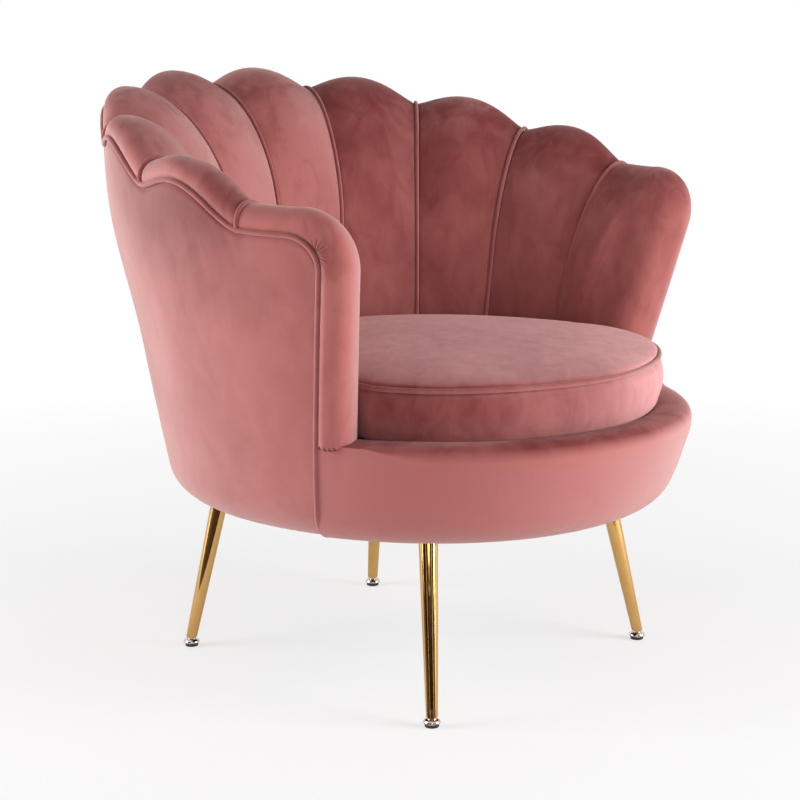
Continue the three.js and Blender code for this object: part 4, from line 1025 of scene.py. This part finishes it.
def cushion_rows():
    """Insets, heights and shares of the way in, from the seat up to the crown."""
    rows = []
    for share in shares(6):
        sine, cosine = quarter(share)
        height = SEAT_HEIGHT + CUSHION_ROUNDING * (1 - cosine)
        rows.append((CUSHION_ROUNDING * (1 - sine), height, 0.0))
    low, seam = SEAT_HEIGHT + CUSHION_ROUNDING, CUSHION_EDGE - SEAM_DROP
    for share in spread(0, 0.8, 9) + spread(0.8, 1, 5):
        tuck = CUSHION_TUCK * smooth(share, CUSHION_TUCK_FROM, 1.0)
        inset = tuck - CUSHION_SIDE * sin(share * pi)
        rows.append((inset, lerp(low, seam, share), 0.0))
    for share in [0.008, 0.02, 0.04, 0.065, 0.09, *spread(0.09, 0.96, 24)]:
        sine, cosine = quarter(share)
        tuck = CUSHION_TUCK * (1 - smooth(share, 0.0, CUSHION_TUCK_TO))
        rows.append((tuck, lerp(CUSHION_EDGE + 1.0, CUSHION_TOP, sine), 1 - cosine))
    return [*rows, (0.0, CUSHION_TOP, 0.985)]


cushion = form(
    "seat_cushion_velvet",
    [[cushion_point(angle, *row) for angle in around(144)] for row in cushion_rows()],
)
# The cushion's copy of the velvet, with a redder painted sheen where its top is seen along
# it, and no painted shade on top.
cushion_velvet_painted_light = velvet_with_painted_light(
    "rose_velvet_cushion_painted_light", cloud=9.0, crush=0.45, crest=0.0, lift=-0.1, cloudy=0.6,
    painted_sheen_power=1.2, far=(0.77, 0.40, 0.40), sheen=0.2,
)
finished(cushion, cushion_velvet_painted_light, "velvet", "cushion", "seat_cushion")

edge_line = [cushion_point(angle, 0.0, CUSHION_EDGE) for angle in around(160)]
cushion_cord = cord_mesh("cushion_piping_cord", edge_line, CUSHION_PIPING, closed=True)
finished(cushion_cord, cord_velvet_painted_light, "velvet_piping", "cushion", "cushion_piping")

# The legs: tapered steel tubes with polished gold plating, one under each corner. Each
# ends in a threaded stud at the top, which screws into a tee nut in the base board.

LEG_TOP, LEG_FOOT = 223.7, 12.6
LEG_TOP_RADIUS, LEG_FOOT_RADIUS, LEG_SIDES = 12.0, 7.4, 48
STUD_RADIUS, STUD_LENGTH = 4.0, 30.0
CORNERS = ("front_right", "front_left", "back_right", "back_left")


def middle_of(node):
    low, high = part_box(node)
    return (low + high) / 2


def turned(name, outline, foot, top=None):
    """Turned about an upright line, or about one that leans from the foot to the top."""
    rows = []
    for radius, height in outline:
        rise = clamp((height - LEG_FOOT) / (LEG_TOP - LEG_FOOT))
        axis = foot.lerp(top, rise) if top else foot
        radius *= MM
        rows.append([
            Vector((axis.x + radius * cos(a), axis.y + radius * sin(a), height * MM))
            for a in around(LEG_SIDES)
        ])
    return form(name, rows, sharp=35.0)


def mottled(
    name, colours, grain, rough, relief=(), edges=(), patches=(), worn=(), **shader
):
    """Two colours blended by a noise, the patches or else the grain, between its edges.
    The grain also sets the relief and the roughness, from and by how much."""
    finish = Finish(name, **shader)
    fine = finish.noise(*grain)
    share = finish.noise(*patches) if patches else fine
    share = share.between(*edges) if edges else share
    rubbed = fine.between(*worn) if worn else fine
    colour = finish.blend(share, *colours)
    finish.set(base_color=colour, roughness=rough[0] + rough[1] * rubbed)
    if relief:
        finish.set(normal=finish.bump(fine, *relief))
    return finish


gold = mottled(
    "polished_gold", ((0.70, 0.40, 0.12), (0.78, 0.48, 0.17)), (60.0, 3.0),
    rough=(0.06, 0.07), worn=(0.4, 0.75), metallic=1.0, coat_weight=0.2,
    coat_roughness=0.05,
)
drawn = gold.noise(30.0, 2.0, (60.0, 60.0, 1.0))
gold.set(normal=gold.bump(drawn, 0.00005, 0.25))
leg_outline = [(LEG_FOOT_RADIUS - 0.7, LEG_FOOT), (LEG_FOOT_RADIUS - 0.2, LEG_FOOT + 0.2)]
for share in shares(16):
    radius = lerp(LEG_FOOT_RADIUS, LEG_TOP_RADIUS, share)
    leg_outline.append((radius, lerp(LEG_FOOT + 0.8, LEG_TOP - 0.4, share)))
leg_outline += [
    (LEG_TOP_RADIUS - 0.4, LEG_TOP), (STUD_RADIUS, LEG_TOP),
    (STUD_RADIUS, LEG_TOP + STUD_LENGTH - 1), (STUD_RADIUS - 1, LEG_TOP + STUD_LENGTH),
]
for corner in CORNERS:
    foot, top = middle_of(f"foot_pad_{corner}"), middle_of(f"tee_nut_{corner}")
    leg = turned(f"leg_tube_{corner}", leg_outline, foot, top)
    finished(leg, gold, "gold_metal", "chair", f"leg_{corner}")

# The levelling feet: a nickel-plated glide with a threaded stem turns in the end of
# each leg, and a black plastic pad is pressed into its underside.

GLIDE_RIM, GLIDE_NECK, STEM_RADIUS, STEM_TOP = 10.8, 5.6, 3.0, 30.6
DOME_FOOT, DOME_TOP, PAD_TOP, PAD_RADIUS = 5.8, 10.2, 4.2, 8.8
THREAD_PITCH, THREAD_DEPTH = 1.0, 0.35

nickel = mottled(
    "nickel", ((0.56, 0.50, 0.45), (0.68, 0.62, 0.56)), (90.0, 4.0), rough=(0.10, 0.14),
    worn=(0.45, 0.8), metallic=1.0, coat_weight=0.15, coat_roughness=0.08,
)
plastic = mottled(
    "black_plastic", ((0.018, 0.018, 0.018), (0.06, 0.058, 0.055)), (120.0, 4.0),
    rough=(0.42, 0.3), edges=(0.5, 0.8), specular_ior_level=0.4,
)
plastic.set(normal=plastic.bump(plastic.noise(900.0), 0.0001, 0.5))
glide_outline = [(PAD_RADIUS, PAD_TOP + 0.3), (GLIDE_RIM - 0.9, PAD_TOP + 0.4)]
for share in shares(10):
    sine, cosine = quarter(share)
    glide_outline.append(
        (lerp(GLIDE_NECK, GLIDE_RIM, cosine), lerp(DOME_FOOT, DOME_TOP, sine))
    )
glide_outline += [(GLIDE_NECK, LEG_FOOT - 0.6), (GLIDE_NECK - 0.4, LEG_FOOT - 0.3)]
for k in range(int((STEM_TOP - LEG_FOOT) / THREAD_PITCH)):
    root = LEG_FOOT - 0.3 + k * THREAD_PITCH
    glide_outline.append((STEM_RADIUS - THREAD_DEPTH, root))
    glide_outline.append((STEM_RADIUS, root + THREAD_PITCH / 2))
pad_outline = [
    (PAD_RADIUS - 1.0, 0.0), (PAD_RADIUS - 0.3, 0.25), (PAD_RADIUS, 0.9),
    (PAD_RADIUS, PAD_TOP - 0.5), (PAD_RADIUS - 0.5, PAD_TOP),
]
for corner in CORNERS:
    foot = middle_of(f"foot_pad_{corner}")
    glide = turned(f"levelling_glide_{corner}", glide_outline, foot)
    finished(glide, nickel, "nickel", f"foot_{corner}", f"foot_glide_{corner}")
    pad = turned(f"glide_pad_{corner}", pad_outline, foot)
    finished(pad, plastic, "black_plastic", f"foot_{corner}", f"foot_pad_{corner}")

# The frame: birch plywood boards, glued and screwed. The base carries a drum and the
# seat ring, and ribs and posts carry the scalloped rail, with a card lining behind.

PLY_THICKNESS = 0.0015   # metres


def wood_finish(name, grain, plies):
    """Plywood whose grain runs one way. Its plies show on the boards' edges."""
    wood = Finish(name, specular_ior_level=0.25)
    fibre = wood.noise(40.0, 6.0, grain, 0.6)
    broad = wood.noise(9.0, 3.0, grain, 1.2)
    colour = wood.blend(fibre.between(0.3, 0.7), (0.50, 0.34, 0.19), (0.68, 0.50, 0.31))
    colour = wood.blend(broad.between(0.55, 0.75) * 0.35, colour, (0.42, 0.26, 0.13))
    if plies:
        up = wood.coordinates(OBJECT).split()[2]
        layer = (up * (pi / PLY_THICKNESS)).math("SINE").between(-0.3, 0.3)
        facing = wood.coordinates(NORMAL).split()[2]
        edge = 1 - facing.math("ABSOLUTE").between(0.3, 0.6)
        colour = wood.blend(layer * edge * 0.6, colour, (0.36, 0.22, 0.12))
    wood.set(
        base_color=colour,
        roughness=0.62 + 0.2 * fibre,
        normal=wood.bump(fibre, 0.0003, 0.6),
    )
    return wood


board_wood = wood_finish("plywood_boards", (1.0, 12.0, 12.0), True)
upright_wood = wood_finish("plywood_uprights", (12.0, 12.0, 1.0), False)
card = mottled(
    "lining_card", ((0.46, 0.36, 0.25), (0.60, 0.50, 0.37)), (260.0, 4.0),
    rough=(0.8, 0.1), relief=(0.0002, 0.5), edges=(0.35, 0.65), specular_ior_level=0.15,
)
zinc = mottled(
    "zinc_plate", ((0.46, 0.47, 0.50), (0.64, 0.64, 0.63)), (180.0, 3.0),
    rough=(0.28, 0.2), metallic=1.0,
)
frame_finishes = {
    ("base_board", "seat_ring"): board_wood,
    ("base_drum", "top_rail", "back_rib_", "arm_post_"): upright_wood,
    ("tee_nut_",): zinc,
    ("back_lining",): card,
}
for name in nodes:
    for starts, finish in frame_finishes.items():
        if name.startswith(starts):
            for slot in nodes[name].material_slots:
                slot.material = finish.material

# The webbing: four straps of woven elastic, stretched over the opening in the seat ring
# and laced under and over each other. Their ends are stapled to the ring.

WEB_THICK, WEB_LIFT, WEB_RIBS, RIB_DEPTH = 1.6, 2.0, 10, 0.12
WEB_FLAT, WEB_SLOPE = 0.032, 0.016   # metres from the middle of a crossing
WEB_EDGE = 0.4 * MM

elastic = mottled(
    "woven_elastic", ((0.035, 0.030, 0.028), (0.10, 0.085, 0.075)), (700.0, 2.0),
    rough=(0.7, 0.2), relief=(0.0004, 0.7), edges=(0.4, 0.6),
    patches=(12.0, 1.0, (30.0, 30.0, 1.0)), specular_ior_level=0.2, sheen_weight=0.2,
)


def web_strap(name, node, along_x, raised_at):
    low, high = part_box(node)
    axis, side = (0, 1) if along_x else (1, 0)
    ends, edges = (low[axis], high[axis]), (low[side], high[side])
    rows = []
    for share in shares(64):
        at = lerp(*ends, share)
        over = 1 - smooth(abs(at - raised_at), WEB_FLAT, WEB_FLAT + WEB_SLOPE)
        bottom = low[2] + WEB_LIFT * MM * over
        row = []
        for across in shares(24):
            rib = RIB_DEPTH * MM * (1 - cos(2 * pi * WEB_RIBS * across))
            row.append((lerp(*edges, across), bottom + WEB_THICK * MM - rib))
        row += [(edges[1], bottom + WEB_EDGE), (edges[1] - WEB_EDGE, bottom)]
        row += [(edges[0] + WEB_EDGE, bottom), (edges[0], bottom + WEB_EDGE)]
        rows.append([
            Vector((at, across, height) if along_x else (across, at, height))
            for across, height in row
        ])
    strap = form(name, rows, sharp=50.0)
    finished(strap, elastic, "elastic_web", "chair", node)


crossings = [middle_of(f"web_strap_cross_{i}").y for i in (1, 2)]
sides = [middle_of(f"web_strap_long_{i}").x for i in (1, 2)]
for i in (1, 2):
    web_strap(f"elastic_strap_long_{i}", f"web_strap_long_{i}", False, crossings[i - 1])
    web_strap(f"elastic_strap_cross_{i}", f"web_strap_cross_{i}", True, sides[2 - i])

# The deck: a thin foam pad in undyed cotton cloth, laid over the webbing. The channels
# hold its back and its sides, and the loose cushion lies on it.

DECK_BACK_INSET, DECK_FRONT_INSET = 59.0, 106.0
DECK_TURN, DECK_EDGE_RATE = (radians(84), radians(94)), 9
RING_TOP, DECK_LOW, DECK_HIGH, DECK_EDGE, DECK_DIP = 326.0, 330.2, 346.7, 6.0, 2.2
RIPPLE_SIZE = 0.05

cotton = mottled(
    "deck_cotton", ((0.62, 0.57, 0.49), (0.72, 0.68, 0.60)),
    (420.0, 3.0, (1.0, 0.25, 1.0)), rough=(0.85, 0.1), relief=(0.0003, 0.6),
    edges=(0.35, 0.7), patches=(8.0, 3.0), specular_ior_level=0.15, sheen_weight=0.15,
)


def disc_row(count, level, inset_at, inwards, height, ripple=0.0):
    """A ring of a disc with the tub's plan at a level, some way in towards its middle."""
    centre = point(0.0, at_height(CENTRE, level), level)
    row = []
    for angle in around(count):
        spot = tub_point(angle, level, inset_at(angle)).lerp(centre, inwards)
        rippled = height + ripple * drift(spot, RIPPLE_SIZE, 5.0)
        row.append(Vector((spot.x, spot.y, rippled * MM)))
    return row


def deck_row(inwards, height):
    rounded = 1 - sin(acos(clamp(1 - inwards * DECK_EDGE_RATE)))

    def inset(angle):
        free = smooth(min(angle, 2 * pi - angle), *DECK_TURN)
        return lerp(DECK_BACK_INSET, DECK_FRONT_INSET, free) + DECK_EDGE * rounded

    return disc_row(120, RING_TOP, inset, inwards, height)


deck_rows = [deck_row(inwards, DECK_LOW) for inwards in (0.9, 0.5, 0.02)]
deck_middle, half = (DECK_LOW + DECK_HIGH) / 2, (DECK_HIGH - DECK_LOW) / 2
for share in shares(8):
    bend = (share - 0.5) * pi
    inwards = 0.02 * (1 - cos(bend))
    deck_rows.append(deck_row(inwards, deck_middle + half * sin(bend)))
for share in spread(0.02, 0.97, 14):
    deck_rows.append(deck_row(share, DECK_HIGH - DECK_DIP * smooth(share)))
deck = form("deck_pad_cloth", deck_rows)
finished(deck, cotton, "deck_foam", "chair", "deck_pad")

# The dust cover: thin black nonwoven cloth under the base, folded under at its edge and
# stapled over the velvet's flaps.

DUST_INSET, DUST_TOP, DUST_THICK, DUST_SAG = 74.0, 223.7, 0.7, 0.9
DUST_RIPPLE, HEM_SHARE, HEM_RUN = 0.12, 0.6, (0.03, 0.07)
STAPLES, STAPLE_HALF, STAPLE_LEG, STAPLE_WIRE, STAPLE_INSET = 34, 5.0, 1.4, 0.45, 79.0
STAPLE_HEIGHT = DUST_TOP - 2 * DUST_THICK - 0.5

nonwoven = mottled(
    "black_nonwoven", ((0.012, 0.012, 0.012), (0.035, 0.034, 0.033)), (520.0, 3.0),
    rough=(0.8, 0.15), relief=(0.0003, 0.6), edges=(0.35, 0.7), specular_ior_level=0.2,
)


def dust_row(inwards, height):
    return disc_row(96, UNDERSIDE, lambda angle: DUST_INSET, inwards, height, DUST_RIPPLE)


def sag(inwards):
    return DUST_SAG * (1 - (1 - inwards) ** 2)


dust_rows = [dust_row(s, DUST_TOP - sag(s)) for s in (0.98, 0.7, 0.4, 0.1)]
for height in (DUST_TOP - 0.1, DUST_TOP - 2 * DUST_THICK + 0.2):
    dust_rows.append(dust_row(0.0, height))
for s in (0.02, 0.035, 0.06, 0.15, 0.3, 0.5, 0.7, 0.85, 0.98):
    hem = DUST_THICK * (1 - smooth(s, *HEM_RUN))
    dust_rows.append(dust_row(s, DUST_TOP - DUST_THICK - hem * HEM_SHARE - sag(s)))
dust_sheet = form("dust_cover_cloth", dust_rows)
finished(dust_sheet, nonwoven, "black_cloth", "chair", "dust_cover")


def wires(name, lines, radius, finish, slot):
    """Round wires or threads along the lines, as one piece."""
    mesh = bmesh.new()
    for line in lines:
        wire = cord_mesh("wire", line, radius, 8, uneven=0.0)
        mesh.from_mesh(wire.data)
        bpy.data.objects.remove(wire)
    return finished(object_from(mesh, name), finish, slot, "chair")


lines = []
for k in range(STAPLES):
    angle = 2 * pi * (k + 0.5) / STAPLES
    spot = tub_point(angle, STAPLE_HEIGHT, STAPLE_INSET)
    beside = tub_point(angle + 0.01, STAPLE_HEIGHT, STAPLE_INSET)
    run = (beside - spot).normalized() * STAPLE_HALF * MM
    lift = Vector((0.0, 0.0, STAPLE_LEG * MM))
    lines.append([spot - run + lift, spot - run, spot, spot + run, spot + run + lift])
staple_ring = wires("dust_cover_staples", lines, STAPLE_WIRE, zinc, "zinc_steel")

# Hand stitches: a doubled thread closes the foot of each arm's roll over the apron. A
# row of short upright stitches shows there.

THREAD_RADIUS, STITCHES, STITCH_HALF, STITCH_OUT = 0.75, 8, 2.2, 1.5
thread = mottled(
    "rose_thread", ((0.10, 0.02, 0.02), (0.20, 0.05, 0.048)), (1800.0, 1.0),
    rough=(0.55, 0.2), relief=(0.0003, 0.6), specular_ior_level=0.3,
)
for side, word in ((-1, "right"), (1, "left")):
    edge = foot_edges[side]
    outward = Vector((edge[0].x, edge[0].y, 0.0)).normalized() * STITCH_OUT * MM
    rise = Vector((0.0, 0.0, STITCH_HALF * MM))
    lines = []
    for k in range(STITCHES):
        spot = edge[1 + round((len(edge) - 3) * (k + 0.5) / STITCHES)]
        high, low = spot + rise + outward, spot - rise - outward * 3
        lines.append([high, spot + outward * 1.4, low])
    wires(f"arm_foot_stitches_{word}", lines, THREAD_RADIUS, thread, "velvet_piping")
